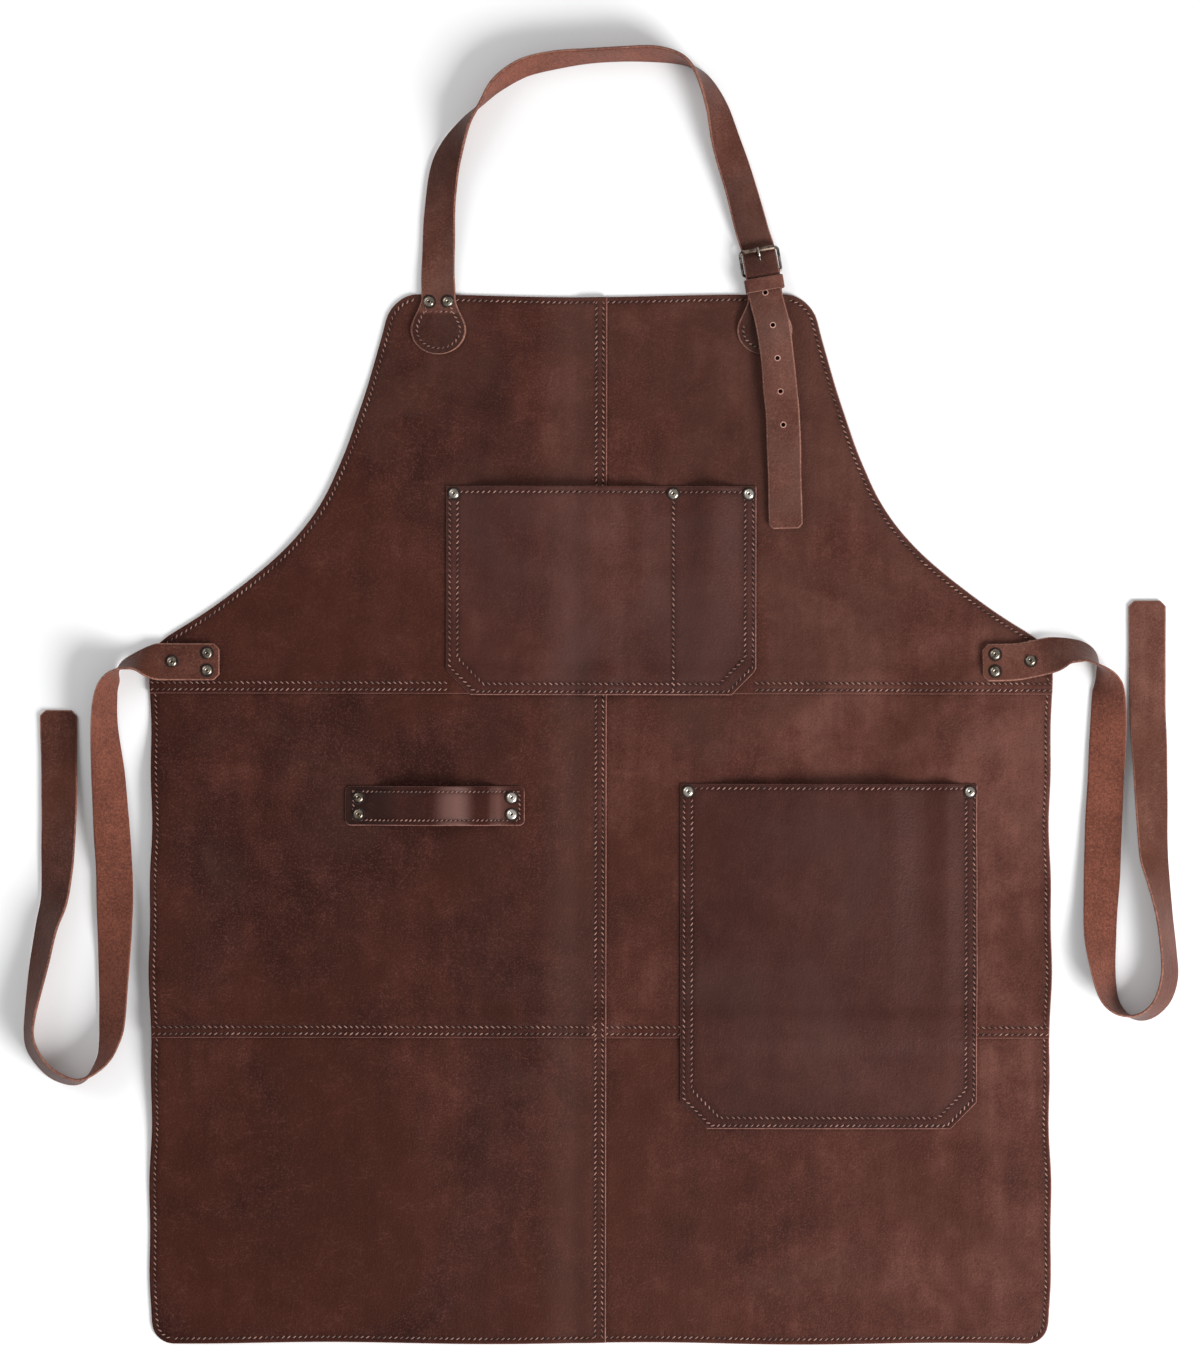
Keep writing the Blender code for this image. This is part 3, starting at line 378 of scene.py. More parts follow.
# %% [markdown]
# ## Nets of nodes
# Materials and Geometry Nodes are both nets of nodes. Written out node by node they are long, so
# `add` makes a node, sets its inputs and gives back one of its outputs, all in one line. An input
# is a plain number or colour, or the output of another node.
# %% Nets of nodes
class Net:
    def put(self, node, inputs):
        for socket, value in inputs.items():
            if isinstance(value, bpy.types.NodeSocket):
                self.links.new(value, node.inputs[socket])
            else:
                node.inputs[socket].default_value = value

    def add(self, kind, inputs, output=0, **settings):
        node = self.nodes.new(self.prefix + kind)
        for key, value in settings.items():
            setattr(node, key, value)
        self.put(node, inputs)
        return node.outputs[output]


def linear(colour, strength=1.0):
    """A colour from 0 to 255, as the light that a shader reckons with."""
    values = [((c / 255 + 0.055) / 1.055) ** 2.4 if c > 10 else c / 3294.6 for c in colour]
    return (*(strength * value for value in values), 1.0)


print("half grey as light:", [round(value, 3) for value in linear((128, 128, 128))])


# %% [markdown]
# ## Recipes for materials
# `Recipe` opens a material and has a word for each kind of node used here: noise, an easing from
# one number to another, a mix of two colours, sums, and a bump. All patterns read the Object
# coordinates, so a pattern stays on the piece from wherever it is seen.
# %% Recipes
class Recipe(Net):
    prefix = "ShaderNode"

    def __init__(self, name):
        self.made = bpy.data.materials.new(name)
        self.made.use_nodes = True
        self.nodes, self.links = self.made.node_tree.nodes, self.made.node_tree.links
        self.shader = self.nodes["Principled BSDF"]
        self.place = self.add("TexCoord", {}, "Object")

    def noise(self, scale, detail=4.0, roughness=0.55, stretch=None, distortion=0.0):
        place = self.place
        if stretch is not None:
            place = self.add("Mapping", {"Vector": place, "Scale": stretch}, "Vector")
        inputs = {"Scale": scale, "Detail": detail, "Roughness": roughness}
        inputs |= {"Distortion": distortion, "Vector": place}
        return self.add("TexNoise", inputs, "Fac")

    def spread(self, value, low, high, to_low=0.0, to_high=1.0):
        """Eases from one number to another while the value goes from low to high."""
        inputs = {"Value": value, "From Min": low, "From Max": high}
        inputs |= {"To Min": to_low, "To Max": to_high}
        return self.add("MapRange", inputs, "Result", interpolation_type="SMOOTHSTEP")

    def mix(self, factor, first, second):
        return self.add("Mix", {0: factor, 6: first, 7: second}, 2, data_type="RGBA")

    def plus(self, first, second):
        return self.add("Math", {0: first, 1: second}, operation="ADD")

    def times(self, first, second):
        return self.add("Math", {0: first, 1: second}, operation="MULTIPLY")

    def away_from(self, value, middle):
        off = self.add("Math", {0: value, 1: middle}, operation="SUBTRACT")
        return self.add("Math", {0: off}, operation="ABSOLUTE")

    def weighed(self, *parts):
        """The sum of some patterns, each with its weight."""
        total = self.times(*parts[0])
        for part in parts[1:]:
            total = self.plus(total, self.times(*part))
        return total

    def bump(self, height, strength, distance):
        inputs = {"Height": height, "Strength": strength, "Distance": distance}
        self.put(self.shader, {"Normal": self.add("Bump", inputs, "Normal")})


print("words:", [word for word in vars(Recipe) if not word.startswith("_")])


# %% [markdown]
# ## Floor and light
# The photograph has a white ground and soft daylight from the lower right, so the right-hand cut
# edges catch the light and the shadows fall to the upper left. A big area lamp on that side gives
# the direction, a second one on the far side fills the shadows, and a pale room lifts the rest.
# %% Floor and light
FLOOR_HALF = 6
FLOOR_DROP = 0.0006


def paper_floor():
    recipe = Recipe("white_floor")
    inputs = {"Scale": 3.0, "Vector": recipe.place}
    ramp = recipe.nodes.new("ShaderNodeValToRGB")
    ramp.color_ramp.elements[0].color = (0.86, 0.865, 0.87, 1)
    ramp.color_ramp.elements[1].color = (0.90, 0.90, 0.905, 1)
    recipe.put(ramp, {"Fac": recipe.add("TexNoise", inputs, "Fac")})
    recipe.put(recipe.shader, {"Base Color": ramp.outputs["Color"], "Roughness": 0.9})
    return recipe.made


def soft_lamp(name, place, size, power):
    data = bpy.data.lights.new(name, "AREA")
    data.shape = "RECTANGLE"
    data.size, data.size_y = size, size
    data.energy = power
    lamp = bpy.data.objects.new(name, data)
    lamp.location = place
    lamp.rotation_euler = (-Vector(place)).to_track_quat("-Z", "Y").to_euler()
    scene.collection.objects.link(lamp)


floor_mesh = bpy.data.meshes.new("floor")
corners = [(x * FLOOR_HALF, y * FLOOR_HALF, 0) for x, y in ((-1, -1), (1, -1), (1, 1), (-1, 1))]
floor_mesh.from_pydata(corners, [], [(0, 1, 2, 3)])
floor_mesh.materials.append(paper_floor())
floor = bpy.data.objects.new("floor", floor_mesh)
floor.location.z = -FLOOR_DROP
scene.collection.objects.link(floor)

soft_lamp("window", (2.3, -1.8, 1.9), 1.7, 176.0)
soft_lamp("far_wall", (-2.6, 1.9, 2.4), 2.6, 52.0)
world = bpy.data.worlds.new("room")
scene.world = world
world.use_nodes = True
world.node_tree.nodes["Background"].inputs["Color"].default_value = (1, 1, 1, 1)
world.node_tree.nodes["Background"].inputs["Strength"].default_value = 0.45
print("lamps:", len(bpy.data.lights))


# %% [markdown]
# ## The browns of the face
# Pull-up leather is full of oil and wax. Where it is bent or rubbed the colour moves, so it shows
# broad clouds, finer patches and streaks, in three browns. Noise of three sizes is added up and
# sorted into those browns, with fine flecks over it. An image would be quicker, but it would
# repeat and blur up close.
# %% Browns of the face
CLOUDS, PATCHES, STREAKS = 0.46, 0.30, 0.24
SIDE_REACH = (-0.36, 0.36)


def three_browns(recipe, patches, across, up, colours, painted_side_light):
    """Clouds, patches and streaks, from dark to light, with fine flecks over them."""
    dark, middle, light = colours
    clouds = recipe.noise(9.0, 3.0, 0.5, distortion=0.6)
    streaks = recipe.noise(30.0, 4.0, 0.6, stretch=(2.2, 0.35, 1.0))
    flecks = recipe.noise(750.0, 2.0, 0.7)
    mixed = recipe.weighed((clouds, CLOUDS), (patches, PATCHES), (streaks, STREAKS))
    # Painted side light: darker to the left, lighter to the right, a little lighter toward the top.
    mixed = recipe.plus(mixed, recipe.spread(across, *SIDE_REACH, -painted_side_light, painted_side_light))
    mixed = recipe.plus(mixed, recipe.spread(up, -0.42, 0.33, -0.03, 0.03))
    body = recipe.mix(recipe.spread(mixed, 0.30, 0.58), dark, middle)
    body = recipe.mix(recipe.spread(mixed, 0.50, 0.80), body, light)
    body = recipe.mix(recipe.spread(flecks, 0.50, 0.70, 0.0, 0.34), body, light)
    return recipe.mix(recipe.spread(flecks, 0.50, 0.30, 0.0, 0.44), body, dark)


print("weights of the noises add up to", round(CLOUDS + PATCHES + STREAKS, 2))


# %% [markdown]
# ## Tone and wisps
# Over the browns the tone drifts: redder where the oil has stayed, greyer where it has dried. Thin
# pale wisps are scuffs. They are the lines where one noise passes its middle value, and they show
# only where the patches are light.
# %% Tone and wisps
# Colour of the painted haze: a painted reflection of the light, blended in toward the right.
PAINTED_HAZE = (122, 90, 82)


def warm_and_cool(recipe, body, across, up, dark, middle, drift):
    """Redder toward the lower left, greyer toward the upper right, as far as the drift says."""
    tone = recipe.noise(6.5, 3.0, 0.6, distortion=0.8)
    tone = recipe.plus(tone, recipe.spread(across, -0.3, 0.3, 0.08 * drift, -0.06 * drift))
    tone = recipe.plus(tone, recipe.spread(up, -0.4, 0.3, 0.07 * drift, -0.09 * drift))
    warm = linear((dark[0] * 0.6 + middle[0] * 0.5, middle[1] * 0.80, middle[2] * 0.66))
    cool = linear((middle[0] * 1.02, middle[1] * 1.30, middle[2] * 1.42))
    body = recipe.mix(recipe.spread(tone, 0.48, 0.68, 0.0, 0.60), body, warm)
    return recipe.mix(recipe.spread(tone, 0.50, 0.32, 0.0, 0.45), body, cool)


def wisps(recipe, patches):
    wisp = recipe.noise(48.0, 4.0, 0.62, stretch=(0.75, 1.7, 1.0), distortion=1.6)
    thin = recipe.spread(recipe.away_from(wisp, 0.5), 0.012, 0.0, 0.0, 0.34)
    return recipe.times(thin, recipe.spread(patches, 0.45, 0.62))


# The colour of the painted haze.
print("the colour of dried leather:", PAINTED_HAZE)


# %% [markdown]
# ## The face as a whole
# The grain is a net of pebbles with fine wrinkles, which a bump gives without more points. Bends
# carry bands of painted highlight and painted shade. Beside a seam and under a strap the leather is
# pressed and dark, and painted shade lies along left edges and above the buckle: the meshes say
# where, in the attribute "pressed".
# %% Recipe for the face
# How dark pressed places and places of painted shade go.
PRESSED_AND_SHADE_DARKNESS = 0.38
PRESSED_AND_SHADE_SHARE = 0.62


def grain(recipe, patches, relief):
    pebbles = {"Scale": 620.0, "Vector": recipe.place}
    pebble = recipe.add("TexVoronoi", pebbles, "Distance")
    wrinkle = recipe.noise(160.0, 4.0, 0.6, stretch=(1.0, 0.5, 1.0), distortion=1.2)
    height = recipe.weighed((pebble, 0.35), (wrinkle, 0.8), (patches, 0.6))
    recipe.bump(height, relief, 0.0009)


def grain_leather(
    name, dark, middle, light, painted_side_light=0.0, gloss=0.54, relief=0.55, painted_light=(), drift=1.0
):
    recipe = Recipe(name)
    split = recipe.nodes.new("ShaderNodeSeparateXYZ")
    recipe.links.new(recipe.place, split.inputs[0])
    across, up = split.outputs["X"], split.outputs["Y"]
    patches = recipe.noise(42.0, 5.0, 0.62, distortion=0.4)
    colours = [linear(colour) for colour in (dark, middle, light)]
    body = three_browns(recipe, patches, across, up, colours, painted_side_light)
    body = warm_and_cool(recipe, body, across, up, dark, middle, drift)
    # Bands of painted highlight and painted shade across X, where folds would catch the light.
    for where, wide, strength, colour in painted_light:
        band = recipe.spread(recipe.away_from(across, where), wide, 0.0, 0.0, strength)
        body = recipe.mix(band, body, linear(colour))
    body = recipe.mix(wisps(recipe, patches), body, linear(light))
    # Painted reflection: the pale haze grows toward the right.
    body = recipe.mix(recipe.spread(across, -0.34, 0.36, 0.0, 0.05), body, linear(PAINTED_HAZE))
    # Pressed places go dark, and so do the places of painted shade: left edges and above the
    # buckle.
    pressed = recipe.add("Attribute", {}, "Fac", attribute_name="pressed")
    body = recipe.mix(recipe.times(pressed, PRESSED_AND_SHADE_SHARE), body, linear(dark, PRESSED_AND_SHADE_DARKNESS))
    roughness = recipe.spread(patches, 0.3, 0.7, gloss - 0.04, gloss + 0.05)
    surface = {"Base Color": body, "Roughness": roughness, "Specular IOR Level": 0.10}
    recipe.put(recipe.shader, surface)
    grain(recipe, patches, relief)
    return recipe.made


print("a pressed point is", round(100 * PRESSED_AND_SHADE_SHARE), "percent dark")


# %% [markdown]
# ## Five faces
# Body, pockets, hip pocket, tool loop and straps come from one recipe with other browns. The
# straps are the palest, and the loop is the smoothest. The folds in the photograph catch the light
# in soft bands that lamps on so low a relief can't give, so they are bands of colour: the middle
# of each in X, half its width, its strength and its colour.
# %% Face leathers
# Painted fold shading: bands of painted highlight and painted shade on the body and pockets.
PAINTED_FOLD_BANDS = (
    (-0.084, 0.040, 0.22, (46, 22, 18)),
    (-0.022, 0.030, 0.18, (98, 71, 64)),
    (0.072, 0.030, 0.16, (48, 23, 18)),
)
# Painted light on the loop: painted shade at its left end, two painted highlights right of its
# middle.
LOOP_PAINTED_BANDS = (
    (-0.180, 0.034, 0.80, (24, 12, 9)),
    (-0.110, 0.018, 0.80, (112, 80, 74)),
    (-0.076, 0.011, 0.45, (108, 74, 67)),
)
BODY_FACE = grain_leather(
    "body_face", (41, 15, 10), (68, 33, 25), (106, 66, 56), 0.10, painted_light=PAINTED_FOLD_BANDS
)
POCKET_FACE = grain_leather(
    "pocket_face", (46, 21, 17), (71, 37, 31), (94, 59, 52), 0.03, painted_light=PAINTED_FOLD_BANDS
)
HIP_FACE = grain_leather(
    "hip_pocket_face", (43, 18, 14), (61, 31, 25), (82, 48, 41), 0.02, drift=0.3
)
LOOP_FACE = grain_leather(
    "loop_face", (46, 20, 15), (62, 31, 25), (84, 50, 43), 0.0, 0.42, 0.22, LOOP_PAINTED_BANDS
)
STRAP_FACE = grain_leather(
    "strap_face", (52, 25, 20), (86, 50, 41), (128, 86, 73), 0.06, 0.42, drift=0.0
)
print("nodes in the body's face:", len(BODY_FACE.node_tree.nodes))


# %% [markdown]
# ## The rough back and the cut edges
# The back of the leather is a felt of short fibres, redder and without shine. A cut edge shows the
# same fibres, paler and finer. One recipe makes both: only the two colours and the size of the
# fibres change. A breath of sheen stands for the fuzz that catches light from the side.
# %% Backs and edges
def rough_leather(name, dark, light, fibre=260.0):
    recipe = Recipe(name)
    fibres = recipe.noise(fibre, 5.0, 0.7, distortion=0.8)
    clouds = recipe.noise(28.0, 4.0, 0.6)
    mixed = recipe.weighed((fibres, 0.72), (clouds, 0.28))
    body = recipe.mix(recipe.spread(mixed, 0.38, 0.64), linear(dark), linear(light))
    surface = {"Base Color": body, "Roughness": 0.88, "Specular IOR Level": 0.25}
    recipe.put(recipe.shader, surface | {"Sheen Weight": 0.12})
    recipe.bump(fibres, 0.7, 0.0007)
    return recipe.made


BODY_BACK = rough_leather("body_back", (70, 34, 24), (110, 62, 48))
STRAP_BACK = rough_leather("strap_back", (82, 41, 29), (124, 70, 53), 620.0)
CUT_EDGE = rough_leather("cut_edge", (92, 54, 46), (150, 104, 94), 700.0)
STRAP_EDGE = rough_leather("strap_edge", (94, 56, 46), (154, 108, 92), 700.0)
RIM = rough_leather("hole_rim", (150, 104, 92), (206, 160, 146), 900.0)
print("materials so far:", [made.name for made in bpy.data.materials if made.node_tree])


# %% [markdown]
# ## Thread and metal
# The thread is waxed, pinkish brown and a little dirty. A needle hole is a dark spot of painted
# shade. The rivets are old brass, grey with tarnish, and each carries a painted highlight: their
# mesh says how strong, in the attribute "bright". The buckle is dark steel.
# %% Thread and metal
def thread_material():
    recipe = Recipe("waxed_thread")
    dirt = recipe.noise(60.0, 3.0, 0.6)
    ply = recipe.noise(1800.0, 2.0, 0.5)
    shares = recipe.spread(dirt, 0.35, 0.65)
    body = recipe.mix(shares, linear((92, 56, 47)), linear((152, 110, 97)))
    recipe.put(recipe.shader, {"Base Color": body, "Roughness": 0.62})
    recipe.bump(ply, 0.5, 0.0002)
    return recipe.made


def metal_material(name, dark, light, rough_low, rough_high, painted_light=None):
    recipe = Recipe(name)
    tarnish = recipe.noise(300.0, 5.0, 0.65, distortion=0.5)
    body = recipe.mix(recipe.spread(tarnish, 0.35, 0.65), linear(dark), linear(light))
    # A painted highlight, mixed in as strongly as the attribute says.
    if painted_light:
        bright = recipe.add("Attribute", {}, "Fac", attribute_name="bright")
        body = recipe.mix(bright, body, linear(painted_light))
    roughness = recipe.spread(tarnish, 0.3, 0.7, rough_low, rough_high)
    recipe.put(recipe.shader, {"Base Color": body, "Roughness": roughness, "Metallic": 1.0})
    recipe.bump(tarnish, 0.25, 0.0002)
    return recipe.made


THREAD = thread_material()
# Painted shade: the dark discs at the needle holes and the dark rings round the rivets.
PAINTED_SHADE_LEATHER = rough_leather("needle_hole", (26, 12, 9), (42, 22, 18), 900.0)
BRASS = metal_material(
    "aged_brass", (60, 52, 44), (150, 138, 122), 0.20, 0.38, painted_light=(226, 220, 210)
)
TARNISH = metal_material("rivet_tarnish", (34, 29, 24), (84, 74, 62), 0.28, 0.46)
PRONG_STEEL = metal_material("prong_steel", (110, 102, 96), (220, 214, 206), 0.14, 0.28)
STEEL = metal_material("buckle_steel", (50, 45, 42), (146, 138, 132), 0.16, 0.32)
RUST = metal_material("roller_steel", (84, 68, 58), (138, 120, 108), 0.38, 0.55)
print("all materials:", len(bpy.data.materials))


# %% [markdown]
# ## Sheets made from two grids
# A sheet of leather is two grids of points, its face and its back, joined by a rim round the
# border. A modifier could thicken one grid, but here the rim can be shaped: it bulges a little, as
# a knife-cut edge does once it has been rubbed down. Each sheet has three finishes, in this order.
# %% The rim of a sheet
FACE, BACK, CUT = 0, 1, 2
BULGE = 0.16
FACE_ROUNDING = 0.22
BACK_ROUNDING = 0.18


def rim_rings(grid, closed):
    """The border of a grid as one ring, or as two where the strip closes on itself."""
    if closed:
        return [grid[:-1, 0], grid[:0:-1, -1]]
    return [np.concatenate([grid[:-1, 0], grid[-1, :-1], grid[:0:-1, -1], grid[0, :0:-1]])]


def close_rim(ring, face, back, faces, start):
    """Rounds both borders, and joins them over a line of points that bulges between them."""
    wall = face[ring] - back[ring]
    centre = (face[ring] + back[ring]) / 2
    ahead = np.roll(centre, -1, axis=0) - np.roll(centre, 1, axis=0)
    out = np.cross(ahead, wall)
    out /= np.maximum(np.linalg.norm(out, axis=1, keepdims=True), 1e-12)
    thick = np.linalg.norm(wall, axis=1, keepdims=True)
    face[ring] -= FACE_ROUNDING * wall
    back[ring] += BACK_ROUNDING * wall
    for k in range(len(ring)):
        k2 = (k + 1) % len(ring)
        a, b = ring[k], ring[k2]
        faces.append((a + len(face), b + len(face), start + k2, start + k))
        faces.append((start + k, start + k2, b, a))
    return centre + BULGE * thick * out


def border_finish(rows, columns, closed, lit):
    """The cut edge's finish also shows on the outermost strip of the face, or just where lit."""
    if lit is not None:
        return np.where(lit, CUT, FACE)
    kinds = np.full((rows if closed else rows - 1, columns - 1), FACE)
    kinds[:, [0, -1]] = CUT
    if not closed:
        kinds[[0, -1], :] = CUT
    return kinds


print("finishes of a sheet:", dict(face=FACE, back=BACK, cut=CUT))


# %% [markdown]
# ## The sheet itself, and how a piece is handed over
# `slab` puts the face, the back and the rim together. `marks` says for each point of the face how
# hard it is pressed and how much painted shade it carries, which the face's material reads. `keep`
# ties a finished piece to the body that carries it, and names the CAD part that it stands in for.
# %% Sheets
SHARP = math.radians(55)


def add_object(name, mesh):
    made = bpy.data.objects.new(name, mesh)
    scene.collection.objects.link(made)
    return made


def slab(name, top, bottom, materials, closed=False, marks=None, lit=None):
    rows, columns, _ = top.shape
    count = rows * columns
    grid = np.arange(count).reshape(rows, columns)
    if closed:
        grid = np.vstack([grid, grid[:1]])
    quads = np.stack([grid[:-1, :-1], grid[1:, :-1], grid[1:, 1:], grid[:-1, 1:]], -1)
    quads = quads.reshape(-1, 4)
    faces = [*quads, *(quads[:, ::-1] + count)]
    kinds = [*border_finish(rows, columns, closed, lit).ravel(), *[BACK] * len(quads)]
    face, back = top.reshape(-1, 3).copy(), bottom.reshape(-1, 3).copy()
    middles, start = [], 2 * count
    for ring in rim_rings(grid, closed):
        middles.append(close_rim(ring, face, back, faces, start))
        kinds += [CUT, CUT] * len(ring)
        start += len(ring)
    points = np.vstack([face, back, *middles])
    mesh = bpy.data.meshes.new(name)
    mesh.from_pydata(points.tolist(), [], [tuple(int(v) for v in f) for f in faces])
    for entry in materials:
        mesh.materials.append(entry)
    mesh.polygons.foreach_set("material_index", [int(kind) for kind in kinds])
    # How hard each point is pressed, and how much painted shade it carries.
    pressed = np.zeros(len(points))
    if marks is not None:
        pressed[:count] = marks.reshape(-1)
    mesh.attributes.new("pressed", "FLOAT", "POINT").data.foreach_set("value", pressed)
    mesh.shade_smooth()
    mesh.set_sharp_from_angle(angle=SHARP)
    mesh.update()
    return add_object(name, mesh)


def keep(piece, slot, *nodes):
    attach(piece, "root")
    if nodes:
        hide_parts(*nodes)
    if len(nodes) == 1:
        piece.name = piece.data.name = f"{nodes[0]}_finished"
    print(piece.name, "faces:", len(piece.data.polygons))


# %% [markdown]
# ## Lines for the stitches
# Each row of stitches is a line on the leather, a few millimetres in from an edge. The rows are
# laid out before the leather is made, because the thread pulls the leather down along them. A row
# that runs under a pocket or under a strap's end is cut where it goes out of sight.
# %% Lines along an edge
OUTLINE_ROW = 0.0037
SEAM_ROWS = (0.0027, 0.0079)
POCKET_ROWS = (0.0023, 0.0082)
ROW_STEP = 0.0011
SHORTEST_ROW = 5
OUTLINE_PLACES = 700
ROWS = []


def straight(*corners):
    return np.array(corners, float)


def outline_row(side, start_y, end_y):
    """A row down one side of the body, inset square to the edge."""
    ys = np.linspace(start_y, end_y, OUTLINE_PLACES)
    edge = np.stack([side * half_width(ys), ys], 1)
    along_edge = np.gradient(edge, axis=0)
    normal = np.stack([along_edge[:, 1], -along_edge[:, 0]], 1)
    normal /= np.linalg.norm(normal, axis=1, keepdims=True)
    normal *= np.where((normal[:, :1] * side) > 0, -1, 1)
    return edge + OUTLINE_ROW * normal


def row(points, height, kind="body", hidden=None, slant=1):
    """Adds a row to the list, without the stretches that another piece hides."""
    length = along(points)
    fine = np.arange(0.0, length[-1], ROW_STEP)
    line = np.stack([np.interp(fine, length, points[:, k]) for k in (0, 1)], 1)
    shown = [hidden is None or not hidden(x, y) for x, y in line]
    start = None
    for k, seen in enumerate([*shown, False]):
        if seen and start is None:
            start = k
        if not seen and start is not None:
            if k - start > SHORTEST_ROW:
                ROWS.append((kind, line[start:k], height, slant))
            start = None


print("points on the left outline:", len(outline_row(-1, 0.0, 0.3)))


# %% [markdown]
# ## What hides a row
# Three things cover rows: the two pockets, and the round ends of the straps at the top of the bib.
# The ends are wide at the foot and draw in toward the edge of the bib.
# %% Hidden places
PAD_SPREAD = 0.1223
PAD_COVER, PAD_COVER_WIDE = 0.255, 0.0205
NECK_COVER, NECK_COVER_WIDE = 0.29, 0.0135


def under(pocket):
    left, bottom = pocket["x"] - pocket["width"] / 2, pocket["bottom"]
    right, top = left + pocket["width"], bottom + pocket["height"]
    return lambda x, y: left < x < right and bottom < y < top


def under_pads(x, y):
    near = abs(abs(x) - PAD_SPREAD)
    return y > PAD_COVER and near < (NECK_COVER_WIDE if y > NECK_COVER else PAD_COVER_WIDE)


under_bib_pocket, under_hip_pocket = under(BIB_POCKET), under(HIP_POCKET)
print("hidden at the bib pocket's middle:", under_bib_pocket(0.0, 0.08))


# %% [markdown]
# ## Rows on the body
# One row runs round the whole body near its edge. Both cross seams and the middle seam are sewn
# twice, and the two rows of a seam lean against each other, as they do when one is sewn up and the
# other down.
# %% Rows on the body
ROW_START = 0.0006
PAST_SEAM = 0.0105
BELOW_SEAM = 0.0015
CORNER_GAP = 0.002
MIDDLE_GAP = 0.009
SEAM_END = 0.001
TOP_END, HEM_END = 0.295, 0.004

for side, bib, mid, low in (
    (-1, bib_left, mid_left, low_left),
    (1, bib_right, mid_right, low_right),
):
    row(outline_row(side, BIB_HEIGHT - ROW_START, PAST_SEAM), top_of(bib), hidden=under_pads)
    row(outline_row(side, -BELOW_SEAM, LOWER_Y + PAST_SEAM), top_of(mid))
    row(outline_row(side, LOWER_Y - BELOW_SEAM, HEM_Y + ROW_START), top_of(low))
    inner = SEAM_X if side > 0 else SEAM_X - MIDDLE_GAP
    corner, y = half_width(BIB_HEIGHT) - CORNER_GAP, BIB_HEIGHT - OUTLINE_ROW
    row(straight((side * corner, y), (inner, y)), top_of(bib), hidden=under_pads)
    corner, y = half_width(HEM_Y) - CORNER_GAP, HEM_Y + OUTLINE_ROW
    row(straight((side * corner, y), (inner, y)), top_of(low))
    end = side * (HALF_BODY - BELOW_SEAM)
    for inset, slant in zip(SEAM_ROWS, (1, -1)):
        row(straight((end, inset), (inner, inset)), top_of(bib), "body", under_bib_pocket, slant)
        y = LOWER_Y + inset
        row(straight((end, y), (inner, y)), top_of(mid), "body", under_hip_pocket, slant)
for inset, slant in zip(SEAM_ROWS, (1, -1)):
    x = SEAM_X - inset
    for start, end, height in (
        (TOP_END, SEAM_END, bib_left),
        (-SEAM_END, LOWER_Y + SEAM_END, mid_left),
        (LOWER_Y - SEAM_END, HEM_Y + HEM_END, low_left),
    ):
        hidden = under_bib_pocket if height is bib_left else None
        row(straight((x, start), (x, end)), top_of(height), "body", hidden, slant)
print("rows on the body:", len(ROWS))


# %% [markdown]
# ## Rows on the pockets and the loop
# A pocket is sewn down with two rows, down one side, round the cut corners and up the other side,
# and a single row keeps its open mouth from stretching. The bib pocket has one more row, which
# divides it in two. The loop has one row round it.
# %% Rows on the pockets and the loop
MOUTH_GAP = 0.004
MOUTH_SIDE = 0.011
DIVIDER_X, DIVIDER_TOP, DIVIDER_FOOT = 0.054, 0.1435, 0.002
LOOP_ROW = 0.0038
LOOP_ROW_LEFT = 0.0057
ROOT2 = math.sqrt(2)


def sides_of(pocket):
    middle, bottom = pocket["x"], pocket["bottom"]
    half = pocket["width"] / 2
    return middle - half, middle + half, bottom, bottom + pocket["height"]


def pocket_row(pocket, inset):
    left, right, bottom, top = sides_of(pocket)
    cut = pocket["chamfer"] + inset * (ROOT2 - 1)
    back = inset * (2 - ROOT2) * 0.5
    return straight(
        (left + inset, top - MOUTH_GAP),
        (left + inset, bottom + inset + cut - back),
        (left + inset + cut - back, bottom + inset),
        (right - inset - cut + back, bottom + inset),
        (right - inset, bottom + inset + cut - back),
        (right - inset, top - MOUTH_GAP),
    )


for pocket, height, inset in ((BIB_POCKET, bib_pocket, 0.0041), (HIP_POCKET, hip_pocket, 0.0030)):
    for edge, slant in zip(POCKET_ROWS, (1, -1)):
        row(pocket_row(pocket, edge), top_of(height), "pocket", slant=slant)
    left, right, _, top = sides_of(pocket)
    mouth = straight((left + MOUTH_SIDE, top - inset), (right - MOUTH_SIDE, top - inset))
    row(mouth, top_of(height), "pocket")
divider = straight((DIVIDER_X, DIVIDER_TOP), (DIVIDER_X, DIVIDER_FOOT))
row(divider, top_of(bib_pocket), "pocket")
left, right = LOOP_X - LOOP_WIDTH / 2 + LOOP_ROW_LEFT, LOOP_X + LOOP_WIDTH / 2 - LOOP_ROW
top, bottom = LOOP_TOP - LOOP_ROW, LOOP_TOP - LOOP_HEIGHT + LOOP_ROW
round_loop = ((left, top), (left, bottom), (right, bottom), (right, top), (left, top))
row(straight(*round_loop), top_of(tool_loop), "loop")
print("rows in all:", len(ROWS))


# %% [markdown]
# ## How the thread pulls the leather down
# Tight thread presses a narrow groove into the leather and a shallow hollow beside it. For every
# point of a sheet a tree of places finds the nearest stitch line, and two bell curves, one narrow
# and one wide, turn that distance into a depth.
# %% The pull of the thread
PULL = 0.00045
PULL_REACH = 0.008
GROOVE_SHARE, GROOVE_WIDTH = 0.62, 0.0010
HOLLOW_SHARE, HOLLOW_WIDTH = 0.38, 0.0028

row_places = np.vstack([line for _, line, _, _ in ROWS])
near_rows = KDTree(len(row_places))
for number, (x, y) in enumerate(row_places):
    near_rows.insert((x, y, 0.0), number)
near_rows.balance()


def bell(distance, width):
    return math.exp(-((distance / width) ** 2))


